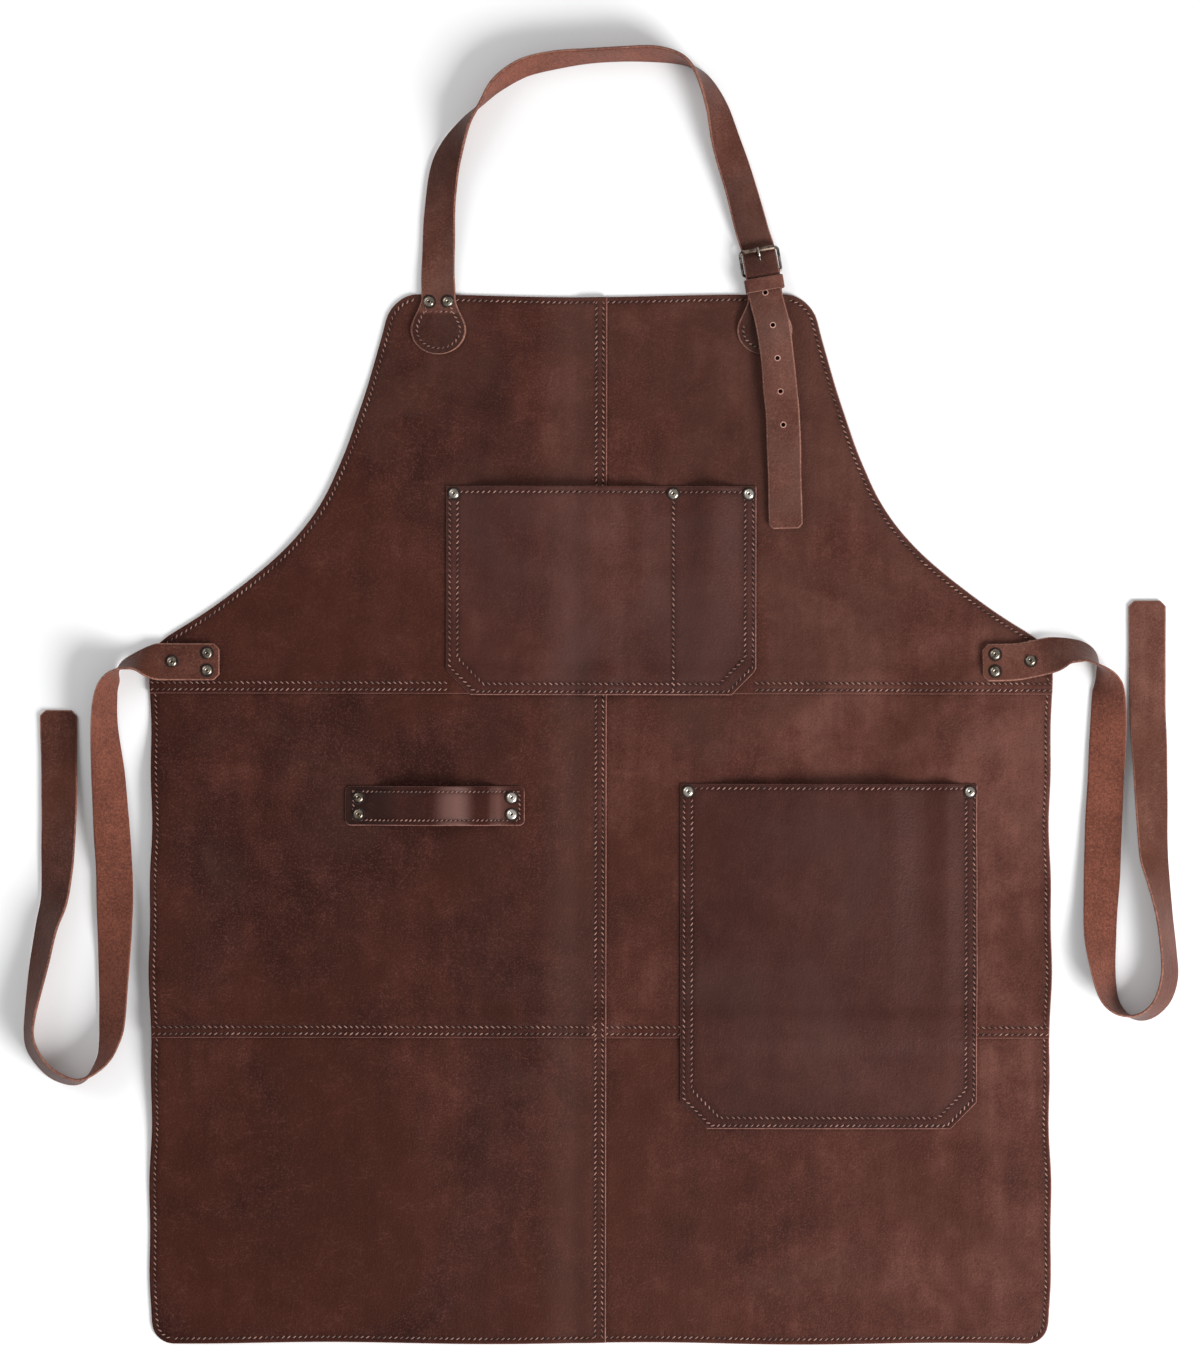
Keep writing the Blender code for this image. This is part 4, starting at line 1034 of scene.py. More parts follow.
def pulled(x, y):
    depth = np.zeros(x.shape)
    for index in np.ndindex(x.shape):
        away = near_rows.find((x[index], y[index], 0.0))[2]
        if away < PULL_REACH:
            groove = GROOVE_SHARE * bell(away, GROOVE_WIDTH)
            depth[index] = groove + HOLLOW_SHARE * bell(away, HOLLOW_WIDTH)
    return depth


print("places on the rows:", len(row_places))


# %% [markdown]
# ## Edges that aren't quite straight
# The straps have pulled the bib's corners up, so its top edge sags two millimetres between them.
# The sides and the hem wander by less than a millimetre, as edges cut by hand do. The stitches
# move with the leather, so they are put through the same shift.
# %% Worn edges
SAG, SAG_HEIGHT, SAG_X, SAG_HALF = 0.0022, 0.05, -0.02, 0.13
SIDE_START, SIDE_RAMP = 0.26, 0.07
HEM_RAMP = 0.06
# How dark the painted shade along a sheet's left edge is.
SHADED_EDGE = 1.5


def dipped(xs, ys):
    """Where places of the flat cut lie on the worn apron."""
    near_top = smooth((ys - (BIB_HEIGHT - SAG_HEIGHT)) / SAG_HEIGHT)
    sag = SAG * near_top * smooth(1 - abs(xs - SAG_X) / SAG_HALF)
    wander = 0.0009 * np.sin(31 * ys + 1.3) + 0.0005 * np.sin(83 * ys + 0.4)
    side = np.sign(xs) * smooth((abs(xs) - SIDE_START) / SIDE_RAMP)
    hem = 0.0008 * np.sin(27 * xs + 0.7) * smooth((HEM_Y + HEM_RAMP - ys) / HEM_RAMP)
    return xs + wander * side, ys - sag + hem


def leather(name, xs, ys, height, materials, slot, lower_edge=False):
    """A sheet at its layer's height, its right edge in painted light, its left in painted shade."""
    base = height(xs, ys)
    marks = pulled(xs, ys)
    thickness = LEATHER - PULL * marks
    right, left = (-1, 0) if xs[-1].mean() > xs[0].mean() else (0, -1)
    # Painted highlight: the pale cut-edge finish on the right-hand edge only.
    lit = np.zeros((xs.shape[0] - 1, xs.shape[1] - 1), bool)
    lit[right, :] = True
    # Pockets and the loop also get the painted highlight on their lower edge.
    if lower_edge:
        lit[:, 0 if ys[:, 0].mean() < ys[:, -1].mean() else -1] = True
    # Painted shade along the left edge.
    marks[left, :] = SHADED_EDGE
    shown_x, shown_y = dipped(xs, ys)
    top = np.stack([shown_x, shown_y, base + thickness], -1)
    bottom = np.stack([shown_x, shown_y, base], -1)
    keep(slab(name, top, bottom, materials, marks=marks, lit=lit), slot, name)


sag = -float(dipped(np.array(SAG_X), np.array(BIB_HEIGHT))[1] - BIB_HEIGHT)
print("sag of the bib's top, mm:", round(1000 * sag, 1))


# %% [markdown]
# ## The six body panels
# The body is cut in six, so that each panel comes out of one hide without its thin belly parts. A
# panel is a grid: its rows follow the table of spacings, and its columns run from the middle seam
# to the outline, close together at both.
# %% Body panels
PANEL_COLUMNS = 66
SEAM_SPACING_LEFT, SEAM_SPACING_RIGHT = 0.0025, 0.002
AFTER_EDGE = 0.0135


def panel(name, side, ys, height):
    ys = np.array(ys)
    ramp_end = SEAM_X - LAP - RAMP
    if side < 0:
        near = [SEAM_X - d for d in EDGE]
        near += evenly(SEAM_X - AFTER_EDGE, ramp_end, SEAM_SPACING_LEFT)
    else:
        near = evenly(SEAM_X - LAP, SEAM_X + RAMP, SEAM_SPACING_RIGHT)
    start = near.pop()
    edge = side * half_width(ys)
    last = edge - side * EDGE[-1]
    columns = [np.full(len(ys), x) for x in near]
    columns += [start + (last - start) * share for share in np.linspace(0, 1, PANEL_COLUMNS)]
    columns += [edge - side * d for d in reversed(EDGE[:-1])]
    xs = np.array(columns)
    grid_y = np.repeat(ys[None, :], len(columns), 0)
    if side < 0:
        xs, grid_y = xs[::-1], grid_y[::-1]
    leather(name, xs, grid_y, height, (BODY_FACE, BODY_BACK, CUT_EDGE), "body_leather")


bib_ys = from_both_ends(0.0, BIB_HEIGHT)
mid_ys = from_both_ends(LOWER_Y, LAP)
low_ys = from_both_ends(HEM_Y, LOWER_Y + LAP)
panel("bib_left", -1, bib_ys, bib_left)
panel("bib_right", 1, bib_ys, bib_right)
panel("mid_left", -1, mid_ys, mid_left)
panel("mid_right", 1, mid_ys, mid_right)
panel("low_left", -1, low_ys, low_left)
panel("low_right", 1, low_ys, low_right)


# %% [markdown]
# ## Pockets and the tool loop
# A pocket is a flat sheet with two cut corners, sewn down at its sides and foot and open at the
# top. The columns near its sides are squeezed inward below the cut, so the grid follows the
# corner. The loop is a strip with small round corners that arches over the body.
# %% Pockets and tool loop
POCKET_SPACING = 0.003
LOOP_SPACING = 0.002
LOOP_CORNER = 0.004
SQUEEZED = 1.9


def pocket_sheet(name, pocket, height, face):
    half = pocket["width"] / 2
    distances = np.array(from_both_ends(-half, half, POCKET_SPACING))
    top = pocket["bottom"] + pocket["height"]
    ys = np.array(from_both_ends(pocket["bottom"], top, POCKET_SPACING))
    inset = np.maximum(pocket["chamfer"] - (ys - pocket["bottom"]), 0.0)
    kept = half - SQUEEZED * pocket["chamfer"]
    beyond = np.maximum(abs(distances) - kept, 0.0) / (half - kept)
    xs = pocket["x"] + distances[:, None] - np.sign(distances)[:, None] * beyond[:, None] * inset
    grid_y = np.repeat(ys[None, :], len(distances), 0)
    leather(name, xs, grid_y, height, (face, BODY_BACK, CUT_EDGE), "pocket_leather", True)


def loop_sheet():
    xs = np.array(from_both_ends(LOOP_X - LOOP_WIDTH / 2, LOOP_X + LOOP_WIDTH / 2, LOOP_SPACING))
    ys = np.array(from_both_ends(LOOP_TOP - LOOP_HEIGHT, LOOP_TOP, LOOP_SPACING))
    grid_x, grid_y = np.meshgrid(xs, ys, indexing="ij")
    from_end = np.minimum(grid_x - xs[0], xs[-1] - grid_x)
    into = np.clip(LOOP_CORNER - from_end, 0.0, LOOP_CORNER)
    narrowed = LOOP_CORNER - np.sqrt(LOOP_CORNER**2 - into**2)
    middle = LOOP_TOP - LOOP_HEIGHT / 2
    grid_y = middle + (grid_y - middle) * (1 - narrowed / (LOOP_HEIGHT / 2))
    finishes = (LOOP_FACE, BODY_BACK, CUT_EDGE)
    leather("tool_loop", grid_x, grid_y, tool_loop, finishes, "pocket_leather", True)


pocket_sheet("bib_pocket", BIB_POCKET, bib_pocket, POCKET_FACE)
pocket_sheet("hip_pocket", HIP_POCKET, hip_pocket, HIP_FACE)
loop_sheet()


# %% [markdown]
# ## Where the buckle stands
# The buckle is fastened, so its parts and both straps lie on top of one another. Their heights are
# added up from the bib: the strap's round end, the heel bar in its fold, the long strap over it,
# and the roller on top. Everything at the buckle is turned ten degrees, as it lies in the
# photograph.
# %% Heights at the buckle
STRAP_WIDTH = 0.0245
STRAP_WALL = 0.0026
BUCKLE_STRAP_WALL = 0.0022
BUCKLE_LENGTH = 0.0182
BUCKLE_WIRE = 0.0022
BUCKLE_INNER_WIDTH = 0.0266
ROLLER_WALL = 0.0005
HEEL_RISE = 0.0155
HEEL_SHARE = 0.985
STRAP_UNDER_ROLLER = 0.0024
CAD_CAP_RISE = 0.0018

BIB_TOP = LAYER
WIRE_RADIUS = BUCKLE_WIRE / 2
BAR_Z = BIB_TOP + BUCKLE_STRAP_WALL + GAP + WIRE_RADIUS
FOLD_RADIUS = WIRE_RADIUS + GAP + BUCKLE_STRAP_WALL / 2
FOLD_TOP = BAR_Z + FOLD_RADIUS + BUCKLE_STRAP_WALL / 2
DOUBLE_TOP = BIB_TOP + 2 * BUCKLE_STRAP_WALL + GAP
ROLLER_RADIUS = WIRE_RADIUS + GAP + ROLLER_WALL
STRAP_OVER_FOLD = FOLD_TOP + 3 * GAP
ROLLER_Z = STRAP_UNDER_ROLLER + STRAP_WALL + 4 * GAP + ROLLER_RADIUS
TAIL_CLEAR = DOUBLE_TOP + GAP + CAD_CAP_RISE + GAP
TURN = Matrix.Rotation(math.radians(10), 4, "Z")
HEEL = Vector((PAD_SPREAD * HEEL_SHARE, BIB_HEIGHT + HEEL_RISE, 0.0))


def from_buckle(x, y, z):
    return HEEL + TURN @ Vector((x, y, z))


print("heel bar and roller, mm up:", round(1000 * BAR_Z, 1), round(1000 * ROLLER_Z, 1))


# %% [markdown]
# ## Straps that follow a route
# A strap is a strip of thicker leather that follows a route of places, with a roll at each. Past a
# quarter turn it shows its rough back. A curve with a bevel could be twisted too, but it gives no
# hold on the height of the lower edge, and that edge has to rest on the floor or on the leather.
# %% Strips along a route
SETTLE = 0.0001
ACROSS = (-1.0, -0.955, -0.90, -0.82, -0.65, -0.4, -0.13, 0.13, 0.4, 0.65, 0.82, 0.90, 0.955, 1.0)
STRAP_LEATHER = (STRAP_FACE, STRAP_BACK, STRAP_EDGE)


def ribbon(name, stations, wall, closed=False, marks=None):
    """A strip through stations of centre, vector to the left edge, half width and upward vector."""
    top, bottom = [], []
    for centre, across, half, up in stations:
        line = [centre + across * (u * half) for u in ACROSS]
        top.append([tuple(p + up * (wall / 2)) for p in line])
        bottom.append([tuple(p - up * (wall / 2)) for p in line])
    if marks is not None:
        marks = np.repeat(np.array(marks)[:, None], len(ACROSS), 1)
    return slab(name, np.array(top), np.array(bottom), STRAP_LEATHER, closed, marks)


def direction(line, lengths, s, reach=1e-3):
    """Which way the route runs over the floor, at a distance from its start."""
    after, before = min(s + reach, lengths[-1]), max(s - reach, 0.0)
    x, y = (
        np.interp(after, lengths, line[:, k]) - np.interp(before, lengths, line[:, k])
        for k in (0, 1)
    )
    return Vector((x, y, 0.0)).normalized()


def rolled_stations(line, places, width_at, wall, width):
    lengths = along(line)
    stations = []
    for s in places:
        x, y, roll, base = (np.interp(s, lengths, line[:, k]) for k in range(4))
        travel = direction(line, lengths, s)
        left = Vector((-travel.y, travel.x, 0.0))
        turn = math.radians(roll)
        across = left * math.cos(turn) + Vector((0, 0, math.sin(turn)))
        middle = base + width / 2 * abs(math.sin(turn)) + wall / 2 * abs(math.cos(turn)) + SETTLE
        up = travel.cross(across).normalized()
        stations.append((Vector((x, y, middle)), across, width_at(s), up))
    return stations


print("points across a strap:", len(ACROSS))


# %% [markdown]
# ## The route of the neck strap
# It starts with a round end sewn to the bib's left, stands on its edge round the neck opening,
# comes down to the buckle, passes over the heel bar, and ends as a tail on the bib. Each row of
# the first table is the place across and up, the roll in degrees, and the height of the lower
# edge. A row of the second is the place across and down, and how high the tail still rides.
# %% Route of the neck strap
PAD_ROUND = 0.018
PAD_DEPTH = 0.0445
NECK_RISE = 0.1823
TAIL_DEPTH = 0.175
NECK_ROUTE = (
    (-1.003, 0.085, -5, 0.45),
    (-0.998, 0.200, -12, 0.10),
    (-0.992, 0.337, -22, 0.0),
    (-0.967, 0.492, -30, 0.0),
    (-0.924, 0.589, -42, 0.0),
    (-0.837, 0.701, -72, 0.0),
    (-0.742, 0.780, -90, 0.0),
    (-0.640, 0.860, -109, 0.0),
    (-0.484, 0.927, -117, 0.0),
    (-0.297, 0.959, -116, 0.0),
    (-0.089, 0.976, -109, 0.0),
    (0.126, 0.985, -108, 0.0),
    (0.313, 0.986, -111, 0.0),
    (0.451, 0.971, -103, 0.0),
    (0.543, 0.940, -89, 0.0),
    (0.629, 0.875, -68, 0.0),
    (0.705, 0.764, -49, 0.0),
    (0.763, 0.622, -29, 0.0),
    (0.846, 0.447, -18, 0.2),
    (0.922, 0.262, -6, 0.6),
)
TAIL_ROUTE = (
    (1.008, 0.020, 1.00),
    (1.046, 0.125, 1.00),
    (1.076, 0.270, 0.96),
    (1.095, 0.412, 0.88),
    (1.113, 0.558, 0.80),
    (1.131, 1.000, 0.55),
)


def neck_line():
    foot = BIB_HEIGHT - PAD_DEPTH
    rows = [(-PAD_SPREAD, y, 0.0, BIB_TOP) for y in (foot, foot + PAD_ROUND, BIB_HEIGHT)]
    for across, up, roll, base in NECK_ROUTE:
        rows.append((PAD_SPREAD * across, BIB_HEIGHT + NECK_RISE * up, roll, base * STRAP_WALL))
    for y, z in (
        (BUCKLE_LENGTH, STRAP_UNDER_ROLLER),
        (0.0, STRAP_OVER_FOLD),
        (-FOLD_RADIUS, STRAP_OVER_FOLD - GAP),
    ):
        point = from_buckle(0.0, y, z)
        rows.append((point.x, point.y, 0.0, z))
    for across, down, clear in TAIL_ROUTE:
        rows.append((PAD_SPREAD * across, BIB_HEIGHT - TAIL_DEPTH * down, 0.0, TAIL_CLEAR * clear))
    return through(rows)


STRAP_LINE = neck_line()
STRAP_LENGTHS = along(STRAP_LINE)
STRAP_LENGTH = STRAP_LENGTHS[-1]
print("neck strap, mm long:", round(1000 * STRAP_LENGTH))


# %% [markdown]
# ## The neck strap
# Its width follows the round end, then draws in to the strap, and the tail's corners are cut. Long
# wear has made the sides uneven by a tenth of a millimetre. Three stretches are dark: the end under
# the stitches, which is pressed; the part above the buckle, which is painted shade; and the left
# side where it bends.
# %% Neck strap
PAD_HALF_WIDTH = 0.0204
PAD_TAPER = 0.024
PAD_TIP_STEPS = 14
TIP_HALF_WIDTH = 0.0015
TAIL_CHAMFER = 0.003
TIP_SPACING, TAPER_SPACING, STRAP_SPACING = 0.0005, 0.0015, 0.0018


def pad_half_width(s):
    """Half width of a strap that starts with a round end and draws in to the strap."""
    usual = STRAP_WIDTH / 2
    if s > PAD_ROUND:
        return usual + (PAD_HALF_WIDTH - usual) * (1 - smooth((s - PAD_ROUND) / PAD_TAPER))
    return max(PAD_HALF_WIDTH * math.sqrt(1 - (1 - s / PAD_ROUND) ** 2), TIP_HALF_WIDTH)


def pad_places():
    quarter = math.pi / 2
    tip = [PAD_ROUND * (1 - math.cos(quarter * k / PAD_TIP_STEPS)) for k in range(PAD_TIP_STEPS)]
    return tip + evenly(PAD_ROUND, PAD_ROUND + PAD_TAPER, TAPER_SPACING)


def neck_half_width(s):
    wear = 0.00012 * math.sin(s * 61) + 0.00010 * math.sin(s * 143 + 1)
    return pad_half_width(s) + wear - max(TAIL_CHAMFER - (STRAP_LENGTH - s), 0.0)


def neck_mark(s, place):
    """Darkness by distance and place: pressed at the end, painted shade above the buckle."""
    end_start, end_ramp = PAD_DEPTH - 0.012, 0.004
    buckle_y, buckle_reach = 0.052, 0.072
    bend_s, bend_reach = 0.155, 0.075
    mark = 0.95 * float(smooth((end_start - s) / end_ramp))
    # Painted shade above the buckle, where the strap turns away from the light.
    if place.x > 0.05:
        above = place.y - BIB_HEIGHT - buckle_y
        mark += 0.90 * float(smooth(1 - abs(above) / buckle_reach))
    if place.x < -0.06 and s > PAD_DEPTH:
        mark += 0.60 * float(smooth(1 - abs(s - bend_s) / bend_reach))
    return mark


places = pad_places()
places += evenly(places[-1], STRAP_LENGTH - TAIL_CHAMFER, STRAP_SPACING)[1:-1]
places += evenly(STRAP_LENGTH - TAIL_CHAMFER, STRAP_LENGTH, TIP_SPACING)
stations = rolled_stations(STRAP_LINE, places, neck_half_width, STRAP_WALL, STRAP_WIDTH)
marks = [neck_mark(s, centre) for s, (centre, *_) in zip(places, stations)]
neck_strap = ribbon("neck_strap", stations, STRAP_WALL, marks=marks)
print("stations:", len(stations))


# %% [markdown]
# ## Punching holes
# A hole is cut with a Boolean modifier and a short bar, and then baked: the mesh is kept and the
# bar thrown away. A dark disc on the face would be less work, but the bib shows through a real
# hole.
# %% Bars, baking and punching
def circle(count):
    angles = [2 * math.pi * k / count for k in range(count)]
    return [(math.cos(angle), math.sin(angle)) for angle in angles]


def cylinder(name, radius, depth, sides=20):
    """An upright round bar round its own origin."""
    half = depth / 2
    points = [(radius * c, radius * s, z) for z in (-half, half) for c, s in circle(sides)]
    faces = [(k, (k + 1) % sides, sides + (k + 1) % sides, sides + k) for k in range(sides)]
    faces += [tuple(range(sides))[::-1], tuple(range(sides, 2 * sides))]
    mesh = bpy.data.meshes.new(name)
    mesh.from_pydata(points, [], faces)
    return add_object(name, mesh)


def bake(piece):
    """Keeps what the modifiers make, as a plain mesh."""
    graph = bpy.context.evaluated_depsgraph_get()
    mesh = bpy.data.meshes.new_from_object(piece.evaluated_get(graph))
    mesh.name = piece.name
    piece.modifiers.clear()
    piece.data = mesh


def punch(piece, cutters):
    for cutter in cutters:
        cutter.data.materials.append(piece.data.materials[CUT])
        made = piece.modifiers.new(cutter.name, "BOOLEAN")
        made.operation = "DIFFERENCE"
        made.solver = "EXACT"
        made.object = cutter
    bake(piece)
    for cutter in cutters:
        bpy.data.objects.remove(cutter, do_unlink=True)


print("corners of a bar:", len(circle(20)))


# %% [markdown]
# ## Holes in the strap
# Five round holes are punched in the tail, 25 mm apart, and the prong sits in a sixth, which leans
# as the prong does. The strap is finished with that, and stands in for its CAD part.
# %% Holes in the strap
PRONG_WIRE = 0.0018
PRONG_SLOPE = ((0.41, 0.0047), (0.75, 0.0100))
HOLE_RADIUS = 0.0016
HOLE_PITCH = 0.025
HOLES = 5
BORE_DEPTH = 0.012

prong_low, prong_high = (Vector((0.0, share * BUCKLE_LENGTH, z)) for share, z in PRONG_SLOPE)
at_prong = from_buckle(*((prong_low + prong_high) / 2))
bore = cylinder("prong_hole", PRONG_WIRE / 2 + GAP, BORE_DEPTH)
bore.location = at_prong
bore.rotation_mode = "QUATERNION"
bore.rotation_quaternion = (TURN @ (prong_high - prong_low)).to_track_quat("Z", "Y")
cutters = [bore]
nearest = int(np.argmin(np.hypot(STRAP_LINE[:, 0] - at_prong.x, STRAP_LINE[:, 1] - at_prong.y)))
for k in range(1, HOLES + 1):
    s = STRAP_LENGTHS[nearest] + HOLE_PITCH * k
    x, y, base = (float(np.interp(s, STRAP_LENGTHS, STRAP_LINE[:, c])) for c in (0, 1, 3))
    hole = cylinder(f"tail_hole_{k}", HOLE_RADIUS, BORE_DEPTH)
    hole.location = (x, y, base + STRAP_WALL / 2)
    cutters.append(hole)
HOLE_PLACES = [tuple(hole.location) for hole in cutters[1:]]
punch(neck_strap, cutters)
keep(neck_strap, "strap_leather", "neck_strap")


# %% [markdown]
# ## The strap that holds the buckle
# It starts with a round end sewn to the bib's right, climbs over its own other end, folds round
# the heel bar and comes back under itself. The two rivets hold both layers. The fold is nine
# places on half a circle, and the whole path is smoothed into one line in space.
# %% Buckle strap
PAD_RIVET_DEPTH = 0.0056
CLIMB = 0.0085
BEHIND_BAR = 0.007
PAST_RIVET = 0.006
FOLD_STEPS = 8
FINE_SPACING = 0.0009
REACH = 5e-4


def buckle_path():
    """Places with the vector to the strap's left edge."""
    pad_z = BIB_TOP + BUCKLE_STRAP_WALL / 2
    over_z = pad_z + BUCKLE_STRAP_WALL + GAP
    foot, rivet_y = BIB_HEIGHT - PAD_DEPTH, BIB_HEIGHT - PAD_RIVET_DEPTH
    across, turned = Vector((-1, 0, 0)), TURN @ Vector((-1, 0, 0))
    climb = ((foot, pad_z), (foot + PAD_ROUND, pad_z), (rivet_y - CLIMB, over_z), (rivet_y, over_z))
    path = [(Vector((PAD_SPREAD, y, z)), across) for y, z in climb]
    path.append((from_buckle(0.0, -BEHIND_BAR, (over_z + BAR_Z + FOLD_RADIUS) / 2), turned))
    for k in range(FOLD_STEPS + 1):
        angle = math.pi / 2 - math.pi * k / FOLD_STEPS
        y, z = FOLD_RADIUS * math.cos(angle), BAR_Z + FOLD_RADIUS * math.sin(angle)
        path.append((from_buckle(0.0, y, z), turned))
    path.append((from_buckle(0.0, -BEHIND_BAR, BAR_Z - FOLD_RADIUS), turned))
    path.append((Vector((PAD_SPREAD, rivet_y, pad_z)), across))
    path.append((Vector((PAD_SPREAD, rivet_y - PAST_RIVET, pad_z)), across))
    return through([(*place, *left) for place, left in path], steps=6)


line = buckle_path()
lengths = along(line, axes=3)
BUCKLE_STRAP_LENGTH = float(lengths[-1])
places = pad_places()
places += evenly(places[-1], BUCKLE_STRAP_LENGTH, FINE_SPACING)[1:]
stations = []
for s in places:
    values = [np.interp(s, lengths, line[:, k]) for k in range(6)]
    after, before = min(s + REACH, lengths[-1]), max(s - REACH, 0.0)
    ahead = Vector([np.interp(after, lengths, line[:, k]) for k in range(3)])
    behind = Vector([np.interp(before, lengths, line[:, k]) for k in range(3)])
    travel = (ahead - behind).normalized()
    left = Vector(values[3:]).normalized()
    left = (left - travel * left.dot(travel)).normalized()
    stations.append((Vector(values[:3]), left, pad_half_width(s), travel.cross(left)))
marks = [0.85 * float(smooth((PAD_DEPTH + 0.004 - s) / 0.008)) for s in places]
buckle_strap = ribbon("buckle_strap", stations, BUCKLE_STRAP_WALL, marks=marks)
keep(buckle_strap, "strap_leather", "buckle_strap")


# %% [markdown]
# ## Rims of the holes
# A punched hole pushes up a thin, paler ring of raw leather. Each rim is a small torus that lies
# half in the strap. The five are one mesh.
# %% Hole rims
RIM_RADIUS, RIM_WIRE = 0.0020, 0.00042
RIM_AROUND, RIM_SECTION = 24, 8


def rings(name, places, radius, wire, finish):
    points, faces = [], []
    for x, y, z in places:
        first = len(points)
        for cos_a, sin_a in circle(RIM_AROUND):
            for cos_b, sin_b in circle(RIM_SECTION):
                r = radius + wire * cos_b
                points.append((x + r * cos_a, y + r * sin_a, z + wire * sin_b))
        for k in range(RIM_AROUND):
            a, b = first + k * RIM_SECTION, first + (k + 1) % RIM_AROUND * RIM_SECTION
            for j in range(RIM_SECTION):
                j2 = (j + 1) % RIM_SECTION
                faces.append((a + j, b + j, b + j2, a + j2))
    mesh = bpy.data.meshes.new(name)
    mesh.from_pydata(points, [], faces)
    mesh.materials.append(finish)
    mesh.shade_smooth()
    return add_object(name, mesh)


rim_places = [(x, y, z + STRAP_WALL / 2) for x, y, z in HOLE_PLACES]
keep(rings("hole_rims", rim_places, RIM_RADIUS, RIM_WIRE, RIM), "strap_leather")


# %% [markdown]
# ## Waist ties
# Each tie is riveted on beside the waist, drops off the body's edge, turns over, runs down beside
# it, and comes back up. The two lie differently, so each has its own table: the place out from the
# body, the place down, the roll in degrees, and how much of the body's thickness is under it.
# %% Waist ties
TIE_WIDTH = 0.027
TIE_WALL = 0.0022
TIE_REACH = 0.094
TIE_DROP = 0.3165
TIE_HEIGHT = 0.0233
TIE_CHAMFER = 0.004
CUT_SPACING, TIE_SPACING = 0.0005, 0.0022
TIE_LENGTHS = {}
LEFT_TIE_ROUTE = (
    (-0.540, 0.000, 0, 1.0),
    (-0.300, 0.000, 0, 1.0),
    (-0.200, 0.000, 0, 1.0),
    (-0.110, 0.000, 0, 1.0),
    (-0.080, 0.000, 0, 1.0),
    (-0.016, 0.000, 20, 1.0),
    (0.117, 0.000, 62, 0.7),
    (0.215, -0.008, 78, 0.4),
    (0.271, -0.021, 92, 0.2),
    (0.310, -0.040, 112, 0.0),
    (0.357, -0.076, 124, 0.0),
    (0.371, -0.152, 133, 0.0),
    (0.340, -0.270, 150, 0.2),
    (0.315, -0.389, 166, 0.5),
    (0.292, -0.507, 180, 0.6),
    (0.287, -0.626, 196, 0.4),
    (0.291, -0.709, 208, 0.0),
    (0.303, -0.846, 222, 0.0),
    (0.327, -0.898, 234, 0.0),
    (0.378, -0.941, 250, 0.0),
    (0.498, -0.982, 270, 0.0),
    (0.610, -0.993, 281, 0.0),
    (0.761, -0.977, 287, 0.0),
    (0.869, -0.948, 288, 0.0),
    (0.944, -0.912, 289, 0.0),
    (0.966, -0.875, 287, 0.0),
    (0.950, -0.827, 290, 0.0),
    (0.920, -0.773, 296, 0.0),
    (0.880, -0.709, 304, 0.0),
    (0.825, -0.626, 310, 0.0),
    (0.769, -0.566, 321, 0.0),
    (0.749, -0.507, 330, 0.0),
    (0.741, -0.448, 337, 0.0),
    (0.733, -0.329, 350, 0.0),
    (0.741, -0.152, 360, 0.0),
    (0.741, -0.116, 360, 0.0),
)
RIGHT_TIE_ROUTE = (
    (-0.540, 0.000, 0, 1.0),
    (-0.300, 0.002, 0, 1.0),
    (-0.200, 0.006, 0, 1.0),
    (-0.100, 0.012, 0, 1.0),
    (0.012, 0.020, 15, 1.0),
    (0.124, 0.028, 44, 0.8),
    (0.227, 0.027, 55, 0.5),
    (0.299, 0.020, 66, 0.3),
    (0.355, 0.003, 80, 0.2),
    (0.398, -0.016, 102, 0.0),
    (0.442, -0.043, 130, 0.0),
    (0.458, -0.073, 148, 0.0),
    (0.458, -0.152, 166, 0.2),
    (0.441, -0.270, 177, 0.4),
    (0.422, -0.389, 182, 0.5),
    (0.409, -0.507, 189, 0.4),
    (0.394, -0.626, 202, 0.1),
    (0.410, -0.713, 222, 0.0),
    (0.450, -0.780, 237, 0.0),
    (0.514, -0.813, 251, 0.0),
    (0.610, -0.832, 269, 0.0),
    (0.689, -0.836, 280, 0.0),
    (0.761, -0.831, 288, 0.0),
    (0.837, -0.815, 294, 0.0),
    (0.904, -0.785, 300, 0.0),
    (0.942, -0.740, 301, 0.0),
    (0.936, -0.687, 298, 0.0),
    (0.908, -0.614, 298, 0.0),
    (0.884, -0.566, 303, 0.0),
    (0.849, -0.507, 313, 0.0),
    (0.817, -0.448, 326, 0.0),
    (0.801, -0.329, 335, 0.0),
    (0.788, -0.211, 346, 0.0),
    (0.773, -0.092, 358, 0.0),
    (0.769, 0.147, 360, 0.0),
)


def tie_half_width(name, s):
    return TIE_WIDTH / 2 - max(TIE_CHAMFER - min(s, TIE_LENGTHS[name] - s), 0.0)


def waist_tie(name, side, table):
    on_bib = LAYER + LEATHER + GAP
    rows = []
    for out, drop, roll, base in table:
        x = side * (HALF_BODY + TIE_REACH * out)
        rows.append((x, TIE_HEIGHT + TIE_DROP * drop, -side * roll, on_bib * base))
    line = through(rows)
    line[:, 3] = np.maximum(line[:, 3], 0.0)
    length = TIE_LENGTHS[name] = float(along(line)[-1])

    def worn_half_width(s):
        wear = 0.00014 * math.sin(s * 57 + side) + 0.00010 * math.sin(s * 131)
        return TIE_WIDTH / 2 + wear - max(TIE_CHAMFER - min(s, length - s), 0.0)

    places = evenly(0.0, TIE_CHAMFER, CUT_SPACING)[:-1]
    places += evenly(TIE_CHAMFER, length - TIE_CHAMFER, TIE_SPACING)[:-1]
    places += evenly(length - TIE_CHAMFER, length, CUT_SPACING)
    stations = rolled_stations(line, places, worn_half_width, TIE_WALL, TIE_WIDTH)
    keep(ribbon(name, stations, TIE_WALL), "strap_leather", name)


